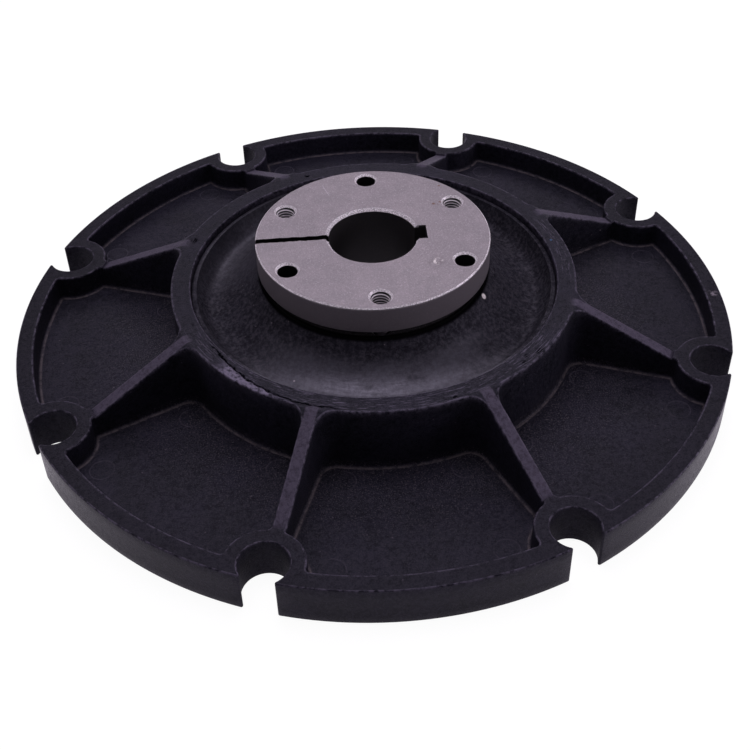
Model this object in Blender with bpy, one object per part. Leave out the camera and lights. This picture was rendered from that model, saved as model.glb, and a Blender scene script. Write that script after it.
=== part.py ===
"""Flexible drive coupling: a moulded flange on a bonded rubber ring, with a hub and a split taper bush.

Lengths are in metres, Z is the shaft axis, and z = 0 is the flat face of the rim that meets the flywheel.
The rim notches straddle the X and Y axes. The camera side of the photograph is near -Y.
"""
import math

import bmesh
import bpy
from mathutils import Matrix

MM = 0.001

# Driving sizes of the moulded flange, in millimetres
RIM_R = 157.16          # outside radius, pilots in the flywheel
RIM_H = 18.4            # height of rim and bolt bosses
RIM_WALL = 7.2          # thickness of the upright rim
RIM_FOOT_CHAMFER = 0.8  # outer edge of the rim at the flywheel
RIM_TOP_CHAMFER = 0.5   # outer edge of the rim at its top
NOTCHES = 8             # open bolt notches, and one rib behind each
NOTCH_R = 9.6           # radius of a notch
NOTCH_INSET = 8.0       # bolt circle inside the rim
NOTCH_MOUTH = 13.4      # width of a notch where it leaves the rim
BOSS_R = 15.6           # outside radius of the wall round a notch
RIB_W = 5.6             # thickness of a rib
RIB_END_DROP = 0.8      # step down from boss top to rib
RIB_END_GAP = 0.5       # step's distance from the boss
POCKET_FILLET = 8.0     # corner of a pocket beside the ring
FLOOR_Z = 7.5           # floor of the pockets
WEB_T = 4.3             # thickness of the web under the pockets
SEAT_W = 26.0           # width of the flat face that meets the flywheel
SEAT_BEVEL = 1.5        # slope at the inner edge of that face
RING_R_OUT = 88.5       # raised ring, outside
RING_WALL = 8.5         # raised ring, thickness
RING_Z = 38.2           # top of the raised ring
RING_CHAMFER = 0.6      # inner edge of the ring
RING_LAND = 1.1         # flat of the ring that runs on over the ribs

# Driving sizes of the bush and the hub
BORE_R = 19.05          # shaft bore
KEY_W = 9.7             # keyway width
KEY_TOP = 23.3          # keyway floor, from the axis
SLOT_W = 2.5            # split of the bush
BUSH_TURN = -2.7        # turn of the bush, degrees from +X
BUSH_TOP_Z = 58.1       # front face of the bush
BUSH_FLANGE_T = 12.9    # thickness of the bush flange
BUSH_FLANGE_R = 50.35   # radius of the bush flange
BUSH_BARREL = 32.2      # length of the tapered barrel
TAPER_SLOPE = 0.03125   # radius lost per length of taper
HOLE_INSET = 7.65       # circle of bush holes inside the bush flange
HOLE_LAND = 6.2         # taper inside the circle of holes
TAP_R = 3.7             # tapped hole, at its crests
PLAIN_R = 4.3           # plain hole
HOLE_CHAMFER = 0.7      # edge of a hole
CHAMFER = 0.9           # edge of bush and hub
HUB_DROP = 3.7          # hub face below the bush flange
HUB_LEN = 29.0          # length of the hub
HUB_INSET = 1.05        # hub's front edge inside the bush flange
HUB_FLARE = 2.7         # radius gained from front to back of the hub

# Driving sizes of the rubber
RUBBER_LIP_DROP = 2.9   # rubber lip below the ring top
RUBBER_LIP_W = 2.2      # width of the lip
RUBBER_DIP_OUT = 13.7   # lowest line of the rubber bowl outside the hub's front edge
RUBBER_DIP = 11.7       # depth of the bowl below the ring top
RUBBER_T = 12.0         # thickness of the rubber at its lowest line
RUBBER_HUB_DROP = 1.2   # rubber below the hub face
RUBBER_HUB_RISE = 1.5   # rubber above the hub's back face
RUBBER_FOOT_RISE = 2.8  # rubber above the underside of the web
CROWN_HALF = 4.0        # half width of the flat under the bowl
CROWN_TILT = 0.5        # that flat rises this much towards the hub
BOWL_OUT_POWER = 2.4    # how late the bowl steepens towards the ring
BOWL_IN_POWER = 2.2     # how late the bowl steepens towards the hub
BOWL_STEPS = 8          # facets of each side of the bowl

# Driving sizes of the fasteners
SCREW_R = 3.4           # screw where it is threaded
SCREW_AF = 12.7         # hexagon, across flats
SCREW_HEAD_H = 5.3      # hexagon height
SCREW_HEAD_BEVEL = 0.7  # edge of the hexagon
SCREW_BITE = 7.0        # length of screw inside the bush flange
SCREW_TIP = 0.8         # chamfer of the tip
SCREW_NECK = 5.5        # start of the thread below the hub face
WASHER_T = 1.9          # lock washer thickness
WASHER_R = 7.2          # lock washer, outside radius

# Clearances and facets
GAP = 0.25              # modelled space between two pieces that touch
PAST = 5.0              # how far a cutter runs past what it cuts
RIM_STEPS = 144         # facets round the rim
HUB_STEPS = 96          # facets round the bush and hub
RUBBER_STEPS = 72       # facets round the rubber
WASHER_STEPS = 32       # facets round a washer
SCREW_STEPS = 24        # facets round a screw, a multiple of six
HOLE_STEPS = 20         # facets round a small hole
HEX_STEP = 60.0         # degrees from one flat of a hexagon to the next

NOTCH_PCR = RIM_R - NOTCH_INSET
SEAT_R = RIM_R - SEAT_W
WEB_Z = FLOOR_Z - WEB_T
RING_R_IN = RING_R_OUT - RING_WALL
BUSH_UNDER_Z = BUSH_TOP_Z - BUSH_FLANGE_T
BUSH_END_Z = BUSH_UNDER_Z - BUSH_BARREL
HOLE_PCR = BUSH_FLANGE_R - HOLE_INSET
BUSH_TAPER_R = HOLE_PCR - HOLE_LAND
HUB_FACE_Z = BUSH_UNDER_Z - HUB_DROP
HUB_BACK_Z = HUB_FACE_Z - HUB_LEN
HUB_R_FACE = BUSH_FLANGE_R - HUB_INSET
HUB_R_BACK = HUB_R_FACE + HUB_FLARE
RUBBER_DIP_R = HUB_R_FACE + RUBBER_DIP_OUT
STEP = 360.0 / NOTCHES
FIRST_NOTCH = STEP / 2.0
TAP_ANGLES = (30.0, 150.0, 270.0)
PLAIN_ANGLES = (90.0, 210.0, 330.0)


def clear_scene():
    """Remove whatever the start-up file holds."""
    for item in list(bpy.data.objects):
        bpy.data.objects.remove(item, do_unlink=True)


def material(name, colour, metallic, roughness):
    """One Principled material."""
    mat = bpy.data.materials.new(name)
    mat.use_nodes = True
    shader = mat.node_tree.nodes["Principled BSDF"]
    shader.inputs["Base Color"].default_value = (*colour, 1.0)
    shader.inputs["Metallic"].default_value = metallic
    shader.inputs["Roughness"].default_value = roughness
    return mat


def finish_mesh(name, bm, sharp=30.0):
    """Turn a bmesh into an object with outward faces, sizes turned to metres."""
    bmesh.ops.scale(bm, vec=(MM, MM, MM), verts=bm.verts)
    bmesh.ops.recalc_face_normals(bm, faces=bm.faces)
    if bm.calc_volume(signed=True) < 0:
        bmesh.ops.reverse_faces(bm, faces=bm.faces)
    mesh = bpy.data.meshes.new(name)
    bm.to_mesh(mesh)
    bm.free()
    mesh.shade_smooth()
    mesh.set_sharp_from_angle(angle=math.radians(sharp))
    obj = bpy.data.objects.new(name, mesh)
    bpy.context.collection.objects.link(obj)
    return obj


def add_revolved(bm, profile, steps):
    """Add a closed ring: profile is a loop of (radius, height) pairs, none on the axis."""
    rings = []
    for i in range(steps):
        turn = 2.0 * math.pi * i / steps
        ring = []
        for r, z in profile:
            ring.append(bm.verts.new((r * math.cos(turn), r * math.sin(turn), z)))
        rings.append(ring)
    count = len(profile)
    for i in range(steps):
        here = rings[i]
        there = rings[(i + 1) % steps]
        for j in range(count):
            k = (j + 1) % count
            bm.faces.new((here[j], there[j], there[k], here[k]))


def add_loops(bm, loops):
    """Add a solid skinned through loops of equal length, with a flat face at each end."""
    rows = []
    for loop in loops:
        rows.append([bm.verts.new(point) for point in loop])
    count = len(rows[0])
    for low, high in zip(rows[:-1], rows[1:]):
        for j in range(count):
            k = (j + 1) % count
            bm.faces.new((low[j], low[k], high[k], high[j]))
    bm.faces.new(list(reversed(rows[0])))
    bm.faces.new(rows[-1])


def round_loop(x, y, r, z, steps, turn_deg=0.0):
    """A circle of points."""
    out = []
    for i in range(steps):
        turn = 2.0 * math.pi * i / steps + math.radians(turn_deg)
        out.append((x + r * math.cos(turn), y + r * math.sin(turn), z))
    return out


def hexagon_loop(x, y, flats, z, steps, turn_deg):
    """A hexagon traced by the same number of points as a circle, one flat facing turn_deg."""
    out = []
    for i in range(steps):
        deg = 360.0 * i / steps
        off = (deg + HEX_STEP / 2.0) % HEX_STEP - HEX_STEP / 2.0
        r = 0.5 * flats / math.cos(math.radians(off))
        turn = math.radians(deg + turn_deg)
        out.append((x + r * math.cos(turn), y + r * math.sin(turn), z))
    return out


def turned(points, degrees):
    """Turn plan points round the axis."""
    c = math.cos(math.radians(degrees))
    s = math.sin(math.radians(degrees))
    return [(x * c - y * s, x * s + y * c) for x, y in points]


def lifted(points, z):
    """Give plan points a height."""
    return [(x, y, z) for x, y in points]


def cutter(name, bm):
    """A helper solid that only takes material away."""
    obj = finish_mesh(name, bm)
    obj.hide_render = True
    obj.display_type = "WIRE"
    return obj


def cut(obj, tool):
    """Subtract a helper from an object."""
    mod = obj.modifiers.new("cut_" + tool.name, "BOOLEAN")
    mod.operation = "DIFFERENCE"
    mod.solver = "EXACT"
    mod.object = tool


def arc(cx, cy, r, start, end, steps):
    """Plan points along an arc, both ends included, angles in degrees."""
    out = []
    for i in range(steps + 1):
        turn = math.radians(start + (end - start) * i / steps)
        out.append((cx + r * math.cos(turn), cy + r * math.sin(turn)))
    return out


def pocket_half():
    """Upper half outline of one pocket that faces +X, from the ring to the rim."""
    half = STEP / 2.0
    side = RIB_W / 2.0
    away = side + POCKET_FILLET
    reach = RING_R_OUT + POCKET_FILLET
    along = math.sqrt(reach ** 2 - away ** 2)
    tangent = half - math.degrees(math.atan2(away, along))
    points = arc(0.0, 0.0, RING_R_OUT, 0.0, tangent, 5)
    hand = turned([(along, -away)], half)[0]
    points += arc(hand[0], hand[1], POCKET_FILLET, 180.0 + tangent, half + 90.0, 6)[1:]
    boss = turned([(NOTCH_PCR, 0.0)], half)[0]
    lean = math.degrees(math.asin(side / BOSS_R))
    inner = RIM_R - RIM_WALL
    cross = (inner ** 2 - BOSS_R ** 2 + NOTCH_PCR ** 2) / (2.0 * NOTCH_PCR)
    rise = math.sqrt(inner ** 2 - cross ** 2)
    meet = math.degrees(math.atan2(rise, cross - NOTCH_PCR))
    points += arc(boss[0], boss[1], BOSS_R, half + 180.0 + lean, half + 360.0 - meet, 12)
    end = half - math.degrees(math.atan2(rise, cross))
    points += arc(0.0, 0.0, inner, end, 0.0, 4)[1:]
    return points


def pocket_outline():
    """Whole outline of the pocket, mirrored about +X."""
    upper = pocket_half()
    lower = [(x, -y) for x, y in reversed(upper[1:-1])]
    return upper + lower


def notch_outline():
    """Outline of one notch that opens towards +X."""
    half = NOTCH_MOUTH / 2.0
    lip = math.degrees(math.asin(half / NOTCH_R))
    points = arc(NOTCH_PCR, 0.0, NOTCH_R, lip, 360.0 - lip, 22)
    points.append((RIM_R + PAST, -half))
    points.append((RIM_R + PAST, half))
    return points


def build_outer_flange():
    """The moulded flange: rim, bosses, ribs, web and raised ring are one moulding."""
    boss_in = NOTCH_PCR - BOSS_R - RIB_END_GAP
    profile = [
        (RING_R_IN, WEB_Z),
        (SEAT_R - SEAT_BEVEL, WEB_Z),
        (SEAT_R, 0.0),
        (RIM_R - RIM_FOOT_CHAMFER, 0.0),
        (RIM_R, RIM_FOOT_CHAMFER),
        (RIM_R, RIM_H - RIM_TOP_CHAMFER),
        (RIM_R - RIM_TOP_CHAMFER, RIM_H),
        (boss_in, RIM_H),
        (boss_in, RIM_H - RIB_END_DROP),
        (RING_R_OUT + RING_LAND, RING_Z),
        (RING_R_IN + RING_CHAMFER, RING_Z),
        (RING_R_IN, RING_Z - RING_CHAMFER),
    ]
    bm = bmesh.new()
    add_revolved(bm, profile, RIM_STEPS)
    flange = finish_mesh("outer_flange", bm)
    pockets = bmesh.new()
    notches = bmesh.new()
    for i in range(NOTCHES):
        plan = turned(pocket_outline(), STEP * i)
        add_loops(pockets, [lifted(plan, FLOOR_Z), lifted(plan, RING_Z + PAST)])
        plan = turned(notch_outline(), FIRST_NOTCH + STEP * i)
        add_loops(notches, [lifted(plan, -PAST), lifted(plan, RIM_H + PAST)])
    cut(flange, cutter("pocket_tool", pockets))
    cut(flange, cutter("notch_tool", notches))
    flange.data.materials.append(material("flange_polymer", (0.022, 0.020, 0.026), 0.0, 0.55))
    return flange


def hub_outer(z):
    """Radius of the conical outside of the hub at a height."""
    share = (HUB_FACE_Z - z) / HUB_LEN
    return HUB_R_FACE + HUB_FLARE * share


def taper(z):
    """Radius of the tapered barrel of the bush at a height."""
    return BUSH_TAPER_R - (BUSH_UNDER_Z - z) * TAPER_SLOPE


def build_rubber():
    """The rubber ring, bonded to the raised ring outside and to the hub inside."""
    outer = RING_R_IN - GAP
    lip_z = RING_Z - RUBBER_LIP_DROP
    dip_z = RING_Z - RUBBER_DIP
    hub_z = HUB_FACE_Z - RUBBER_HUB_DROP
    hub_r = hub_outer(hub_z) + GAP
    low_z = HUB_BACK_Z + RUBBER_HUB_RISE
    crown_z = dip_z - RUBBER_T
    profile = [(outer, WEB_Z + RUBBER_FOOT_RISE), (outer, lip_z)]
    edge = outer - RUBBER_LIP_W
    for i in range(BOWL_STEPS + 1):
        share = 1.0 - i / BOWL_STEPS
        r = RUBBER_DIP_R + (edge - RUBBER_DIP_R) * share
        profile.append((r, dip_z + (lip_z - dip_z) * share ** BOWL_OUT_POWER))
    for i in range(1, BOWL_STEPS + 1):
        share = i / BOWL_STEPS
        r = RUBBER_DIP_R + (hub_r - RUBBER_DIP_R) * share
        profile.append((r, dip_z + (hub_z - dip_z) * share ** BOWL_IN_POWER))
    profile.append((hub_outer(low_z) + GAP, low_z))
    profile.append((RUBBER_DIP_R - CROWN_HALF, crown_z + CROWN_TILT))
    profile.append((RUBBER_DIP_R + CROWN_HALF, crown_z - CROWN_TILT))
    bm = bmesh.new()
    add_revolved(bm, profile, RUBBER_STEPS)
    obj = finish_mesh("rubber_element", bm)
    obj.data.materials.append(material("rubber", (0.030, 0.027, 0.036), 0.0, 0.5))
    return obj


def hole_place(angle):
    """Centre of a bush hole at an angle from the keyway."""
    return turned([(HOLE_PCR, 0.0)], angle + BUSH_TURN)[0]


def build_hub():
    """The hub with a tapered bore, drilled for the screws and tapped between them."""
    profile = [
        (taper(HUB_BACK_Z) + GAP, HUB_BACK_Z),
        (HUB_R_BACK - CHAMFER, HUB_BACK_Z),
        (HUB_R_BACK, HUB_BACK_Z + CHAMFER),
        (HUB_R_FACE, HUB_FACE_Z - CHAMFER),
        (HUB_R_FACE - CHAMFER, HUB_FACE_Z),
        (taper(HUB_FACE_Z) + GAP, HUB_FACE_Z),
    ]
    bm = bmesh.new()
    add_revolved(bm, profile, HUB_STEPS)
    hub = finish_mesh("inner_hub", bm)
    holes = bmesh.new()
    for angle, radius in [(a, PLAIN_R) for a in TAP_ANGLES] + [(a, TAP_R) for a in PLAIN_ANGLES]:
        x, y = hole_place(angle)
        low = round_loop(x, y, radius, HUB_BACK_Z - PAST, HOLE_STEPS)
        high = round_loop(x, y, radius, HUB_FACE_Z + PAST, HOLE_STEPS)
        add_loops(holes, [low, high])
    cut(hub, cutter("hub_hole_tool", holes))
    hub.data.materials.append(material("hub_iron", (0.10, 0.095, 0.10), 0.8, 0.6))
    return hub


def box_loops(x0, x1, y0, y1, z0, z1, degrees):
    """Bottom and top loop of a box turned round the axis."""
    plan = turned([(x0, y0), (x1, y0), (x1, y1), (x0, y1)], degrees)
    return [lifted(plan, z0), lifted(plan, z1)]


def build_bush():
    """The split taper bush with its flange, keyway, split and six holes."""
    profile = [
        (BORE_R + CHAMFER, BUSH_END_Z),
        (taper(BUSH_END_Z) - CHAMFER, BUSH_END_Z),
        (taper(BUSH_END_Z + CHAMFER), BUSH_END_Z + CHAMFER),
        (taper(BUSH_UNDER_Z), BUSH_UNDER_Z),
        (BUSH_FLANGE_R - CHAMFER, BUSH_UNDER_Z),
        (BUSH_FLANGE_R, BUSH_UNDER_Z + CHAMFER),
        (BUSH_FLANGE_R, BUSH_TOP_Z - CHAMFER),
        (BUSH_FLANGE_R - CHAMFER, BUSH_TOP_Z),
        (BORE_R + CHAMFER, BUSH_TOP_Z),
        (BORE_R, BUSH_TOP_Z - CHAMFER),
        (BORE_R, BUSH_END_Z + CHAMFER),
    ]
    bm = bmesh.new()
    add_revolved(bm, profile, HUB_STEPS)
    bush = finish_mesh("taper_bush", bm)
    slots = bmesh.new()
    reach = BUSH_FLANGE_R + PAST
    low = BUSH_END_Z - PAST
    high = BUSH_TOP_Z + PAST
    add_loops(slots, box_loops(0.0, KEY_TOP, -KEY_W / 2.0, KEY_W / 2.0, low, high, BUSH_TURN))
    add_loops(slots, box_loops(-reach, -PAST, -SLOT_W / 2.0, SLOT_W / 2.0, low, high, BUSH_TURN))
    cut(bush, cutter("bush_slot_tool", slots))
    holes = bmesh.new()
    for angle, radius in [(a, TAP_R) for a in TAP_ANGLES] + [(a, PLAIN_R) for a in PLAIN_ANGLES]:
        x, y = hole_place(angle)
        loops = [
            round_loop(x, y, radius, HUB_FACE_Z, HOLE_STEPS),
            round_loop(x, y, radius, BUSH_TOP_Z - HOLE_CHAMFER, HOLE_STEPS),
            round_loop(x, y, radius + HOLE_CHAMFER, BUSH_TOP_Z, HOLE_STEPS),
            round_loop(x, y, radius + HOLE_CHAMFER, BUSH_TOP_Z + PAST, HOLE_STEPS),
        ]
        add_loops(holes, loops)
    cut(bush, cutter("bush_hole_tool", holes))
    bush.data.materials.append(material("bush_iron", (0.22, 0.19, 0.23), 0.7, 0.45))
    return bush


def build_screw(number, angle):
    """A hexagon screw put in from the flywheel side and threaded into the bush flange."""
    x, y = hole_place(angle)
    seat = HUB_BACK_Z - GAP - WASHER_T - GAP
    bottom = seat - SCREW_HEAD_H
    tip = BUSH_UNDER_Z + SCREW_BITE
    neck = HUB_FACE_Z - SCREW_NECK
    shank = PLAIN_R - 2.0 * GAP
    turn = angle + BUSH_TURN
    loops = [
        hexagon_loop(x, y, SCREW_AF - 2.0 * SCREW_HEAD_BEVEL, bottom, SCREW_STEPS, turn),
        hexagon_loop(x, y, SCREW_AF, bottom + SCREW_HEAD_BEVEL, SCREW_STEPS, turn),
        hexagon_loop(x, y, SCREW_AF, seat, SCREW_STEPS, turn),
        round_loop(x, y, shank, seat, SCREW_STEPS, turn),
        round_loop(x, y, shank, neck - (shank - SCREW_R), SCREW_STEPS, turn),
        round_loop(x, y, SCREW_R, neck, SCREW_STEPS, turn),
        round_loop(x, y, SCREW_R, tip - SCREW_TIP, SCREW_STEPS, turn),
        round_loop(x, y, SCREW_R - SCREW_TIP, tip, SCREW_STEPS, turn),
    ]
    bm = bmesh.new()
    add_loops(bm, loops)
    obj = finish_mesh("hub_screw_%d" % number, bm)
    obj.data.materials.append(material("screw_steel_%d" % number, (0.20, 0.19, 0.20), 1.0, 0.4))
    return obj


def build_washer(number, angle):
    """The lock washer under a screw head."""
    x, y = hole_place(angle)
    top = HUB_BACK_Z - GAP
    hole = PLAIN_R - GAP
    profile = [
        (hole, top - WASHER_T),
        (WASHER_R, top - WASHER_T),
        (WASHER_R, top),
        (hole, top),
    ]
    bm = bmesh.new()
    add_revolved(bm, profile, WASHER_STEPS)
    bmesh.ops.transform(bm, matrix=Matrix.Translation((x, y, 0.0)), verts=bm.verts)
    obj = finish_mesh("lock_washer_%d" % number, bm)
    obj.data.materials.append(material("washer_steel_%d" % number, (0.18, 0.17, 0.18), 1.0, 0.45))
    return obj


def main():
    """Build every piece in place."""
    clear_scene()
    build_outer_flange()
    build_rubber()
    build_hub()
    build_bush()
    for number, angle in enumerate(TAP_ANGLES, start=1):
        build_screw(number, angle)
        build_washer(number, angle)


main()
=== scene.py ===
# %% [markdown]
# # A flexible drive coupling, dressed for the camera
# The part joins a pump or gearbox shaft to an engine flywheel. A dark moulded flange takes the flywheel
# bolts, a rubber ring takes up twist, and a split taper bush of bare iron grips the shaft. The solids
# arrive from the CAD model as a fixed frame, and this file gives every piece its real surface.

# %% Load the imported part
import math

import bmesh
import bpy
import numpy as np
from mathutils import Matrix, Vector
from mathutils.geometry import delaunay_2d_cdt


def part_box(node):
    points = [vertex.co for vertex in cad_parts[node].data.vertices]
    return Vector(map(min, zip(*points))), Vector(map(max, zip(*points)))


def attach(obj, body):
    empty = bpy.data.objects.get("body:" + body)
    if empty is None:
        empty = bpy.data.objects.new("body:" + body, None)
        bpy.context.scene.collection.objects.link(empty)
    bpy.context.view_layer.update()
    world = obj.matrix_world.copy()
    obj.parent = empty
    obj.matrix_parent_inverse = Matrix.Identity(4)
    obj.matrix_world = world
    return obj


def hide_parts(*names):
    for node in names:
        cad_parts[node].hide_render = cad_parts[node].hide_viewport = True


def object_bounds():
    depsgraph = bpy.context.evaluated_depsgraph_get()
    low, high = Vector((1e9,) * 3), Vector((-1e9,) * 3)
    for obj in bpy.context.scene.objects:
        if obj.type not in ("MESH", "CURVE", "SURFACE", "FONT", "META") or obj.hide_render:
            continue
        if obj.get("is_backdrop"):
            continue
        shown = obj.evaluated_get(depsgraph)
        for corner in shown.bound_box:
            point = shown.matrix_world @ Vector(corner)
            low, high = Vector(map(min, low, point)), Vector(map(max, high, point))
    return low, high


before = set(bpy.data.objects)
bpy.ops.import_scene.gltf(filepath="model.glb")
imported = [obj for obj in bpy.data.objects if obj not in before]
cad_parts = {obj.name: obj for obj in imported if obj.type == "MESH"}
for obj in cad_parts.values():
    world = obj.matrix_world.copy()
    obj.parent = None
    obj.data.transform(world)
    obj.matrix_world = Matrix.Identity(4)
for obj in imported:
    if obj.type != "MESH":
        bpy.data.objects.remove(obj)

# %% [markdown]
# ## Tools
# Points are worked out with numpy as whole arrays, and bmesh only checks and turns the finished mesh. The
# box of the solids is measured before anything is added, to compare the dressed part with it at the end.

cad_low, cad_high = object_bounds()
MM = 0.001

# %% [markdown]
# ## Sizes
# Everything hangs on a few sizes in millimetres. The outside radius and the main heights are read from the
# solids, so the visible pieces stay true to them. The rest repeat the driving sizes of the CAD model.

# %% Driving sizes
rim_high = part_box("outer_flange")[1]
bush_low, bush_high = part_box("taper_bush")
hub_low, hub_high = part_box("inner_hub")

RIM_R = rim_high.x / MM
RING_Z = rim_high.z / MM
BUSH_TOP = bush_high.z / MM
BUSH_END = bush_low.z / MM
HUB_FACE = hub_high.z / MM
HUB_BACK = hub_low.z / MM

NOTCHES = 8               # open bolt notches, with a rib behind each
HALF = 180.0 / NOTCHES    # half a sector, in degrees
RIM_H = 18.4              # height of rim and bosses
RIM_IN = RIM_R - 7.2      # inside of the upright rim
NOTCH_PCR = RIM_R - 8.0   # circle of the notch centres
NOTCH_R = 9.6             # radius of a notch
BOSS_R = 15.6             # outside of the wall round a notch
RIB_HALF = 2.8            # half the thickness of a rib
RIB_END_Z = 17.6          # top of a rib where it meets its boss
RING_OUT = 88.5           # raised ring, outside
RING_IN = 80.0            # raised ring, inside
RING_LAND = 89.6          # where the ring's flat ends on a rib
SEAT_R = RIM_R - 26.0     # inner edge of the face that meets the flywheel
WEB_Z = 3.2               # underside of the web
FLOOR_AT_RING = 7.9       # pocket floor beside the ring
FLOOR_AT_RIM = 7.0        # pocket floor beside the rim
POCKET_FILLET = 8.0       # corner of a pocket beside the ring
BUSH_TURN = -2.7          # turn of the bush, in degrees
print("rim radius %.2f, ring top %.2f, bush top %.2f mm" % (RIM_R, RING_Z, BUSH_TOP))

# %% [markdown]
# ## From patches to one closed skin
# Each surface is worked out with numpy as a grid of points, rows by columns, where neighbours make quads.
# Flat faces with holes are filled by a constrained triangulation between their outlines. Patches share
# their border points, so one weld by position closes the piece. A quad that loses a corner in the weld
# becomes a triangle. Every corner also keeps two marks for the finish: how close to an edge it is, for wear
# and a painted edge highlight, and how dusty it is.

# %% Gather and weld patches
WELD = 0.00137      # points are rounded to a lattice this fine, in millimetres
LATTICE = 2 ** 20   # cells of that lattice along each axis


def outside(places, loops):
    """True where a plan point lies outside the region between the loops: it sees an even count of edges."""
    start = np.concatenate(loops)
    end = np.concatenate([np.roll(loop, -1, axis=0) for loop in loops])
    x, y = places[:, :1], places[:, 1:2]
    over = (start[:, 1] > y) != (end[:, 1] > y)
    rise = end[:, 1] - start[:, 1]
    rise = np.where(rise == 0.0, 1.0, rise)
    reach = start[:, 0] + (y - start[:, 1]) * (end[:, 0] - start[:, 0]) / rise
    return (over & (x < reach)).sum(axis=1) % 2 == 0


class Skin:
    """Patches of surface in millimetres that share their borders."""

    def __init__(self):
        self.points, self.faces, self.marks, self.count = [], [], [], 0

    def patch(self, points, faces, marks):
        """Keep points, faces of four corners, and the two marks of each point."""
        self.points.append(points)
        self.faces.append(faces + self.count)
        self.marks.append(marks)
        self.count += len(points)

    def grid(self, grid, edge=0.0, dust=0.0):
        """A grid of rows and columns; the marks are numbers or one number per row."""
        rows, cols = grid.shape[:2]
        index = np.arange(rows * cols).reshape(rows, cols)
        cells = np.stack([index[:-1, :-1], index[:-1, 1:], index[1:, 1:], index[1:, :-1]], -1)
        marks = np.empty((rows, cols, 2))
        marks[..., 0] = np.reshape(edge, (-1, 1))
        marks[..., 1] = np.reshape(dust, (-1, 1))
        self.patch(grid.reshape(-1, 3), cells.reshape(-1, 4), marks.reshape(-1, 2))

    def band(self, loops, edge=0.0, dust=0.0):
        """A wall through closed loops of equal length."""
        stack = np.stack(loops)
        self.grid(np.concatenate([stack, stack[:, :1]], axis=1), edge, dust)

    def flat(self, loops, edge=0.0):
        """A level face inside the first loop and outside the others."""
        plans = [loop[:, :2] for loop in loops]
        points = np.concatenate(loops)
        sides, start = [], 0
        for loop in loops:
            index = np.arange(len(loop))
            sides += (np.stack([index, np.roll(index, -1)], -1) + start).tolist()
            start += len(loop)
        found = delaunay_2d_cdt([Vector(point[:2]) for point in points], sides, [], 1, 1e-7)
        back = np.array([ids[0] for ids in found[3]])
        corners = back[np.array(found[2])]
        corners = corners[~outside(points[corners][:, :, :2].mean(axis=1), plans)]
        self.patch(points, corners[:, [0, 1, 2, 2]], np.full((len(points), 2), [edge, 0.0]))

    def build(self, name, finish, sharp=38.0):
        """Weld, turn all faces outwards, store the marks and make the object."""
        raw = np.concatenate(self.points)
        keys = np.round(raw / WELD).astype(np.int64) + LATTICE // 2
        code = (keys[:, 0] * LATTICE + keys[:, 1]) * LATTICE + keys[:, 2]
        first, same = np.unique(code, return_index=True, return_inverse=True)[1:]
        points = raw[first]
        rows = np.concatenate(self.faces)
        faces = same.reshape(-1)[rows]
        marks = np.concatenate(self.marks)[rows]
        kept = faces != np.roll(faces, -1, axis=1)
        whole = kept.sum(axis=1) == 4
        slim = kept.sum(axis=1) == 3
        loops = np.concatenate([faces[whole].ravel(), faces[slim][kept[slim]]]).astype(np.int32)
        corners = np.concatenate([marks[whole].reshape(-1, 2), marks[slim][kept[slim]]])
        totals = np.concatenate([np.full(whole.sum(), 4), np.full(slim.sum(), 3)]).astype(np.int32)
        mesh = bpy.data.meshes.new(name)
        mesh.vertices.add(len(points))
        mesh.vertices.foreach_set("co", (points * MM).ravel())
        mesh.loops.add(len(loops))
        mesh.loops.foreach_set("vertex_index", loops)
        mesh.polygons.add(len(totals))
        mesh.polygons.foreach_set("loop_start", (np.cumsum(totals) - totals).astype(np.int32))
        mesh.polygons.foreach_set("loop_total", totals)
        for column, label in enumerate(("edge", "dust")):
            layer = mesh.attributes.new(label, "FLOAT", "CORNER")
            layer.data.foreach_set("value", corners[:, column].astype(np.float32))
        mesh.update(calc_edges=True)
        work = bmesh.new()
        work.from_mesh(mesh)
        bmesh.ops.recalc_face_normals(work, faces=work.faces)
        if work.calc_volume(signed=True) < 0:
            bmesh.ops.reverse_faces(work, faces=work.faces)
        torn = sum(1 for side in work.edges if not side.is_manifold)
        volume = work.calc_volume() * 1e6
        work.to_mesh(mesh)
        work.free()
        mesh.shade_smooth()
        mesh.set_sharp_from_angle(angle=math.radians(sharp))
        mesh.materials.append(finish)
        piece = bpy.data.objects.new(name, mesh)
        bpy.context.collection.objects.link(piece)
        print("%s: %d points, %d faces, %.1f cm3, torn edges %d"
              % (name, len(points), len(totals), volume, torn))
        return piece


def seat(piece, node):
    """Hang a finished piece on the frame in place of its CAD node."""
    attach(piece, "root")
    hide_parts(node)


# %% [markdown]
# ## Small tools for plan curves
# Plan curves are arrays of x and y. They are joined end to end, lifted to a height, turned about the shaft
# and carried round it.

# %% Plan curves
def arc(centre, radius, angles):
    """Plan points at angles in degrees on a circle."""
    a = np.radians(angles)
    return np.asarray(centre) + np.stack([np.cos(a), np.sin(a)], -1) * np.reshape(radius, (-1, 1))


def steps(start, end, count):
    """Evenly spaced numbers that make that many steps."""
    return np.linspace(start, end, count + 1)


def joined(*parts):
    """Runs joined end to end, without the doubled point at each joint."""
    return np.concatenate([parts[0]] + [part[1:] for part in parts[1:]])


def lift(plan, z):
    """Plan points at a height, which is one number or one per point."""
    return np.concatenate([plan, np.broadcast_to(z, plan.shape[:-1])[..., None]], -1)


def turn(points, degrees):
    """Points turned about the shaft axis."""
    a = math.radians(degrees)
    spin = np.eye(points.shape[-1])
    spin[:2, :2] = [[math.cos(a), math.sin(a)], [-math.sin(a), math.cos(a)]]
    return points @ spin


def revolve(profile, angles):
    """Rows of (radius, height) carried round the axis to each angle in degrees."""
    a = np.radians(angles)
    r, z = profile[:, :1], profile[:, 1:2]
    return np.stack([r * np.cos(a), r * np.sin(a), np.broadcast_to(z, (len(profile), len(a)))], -1)


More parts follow.
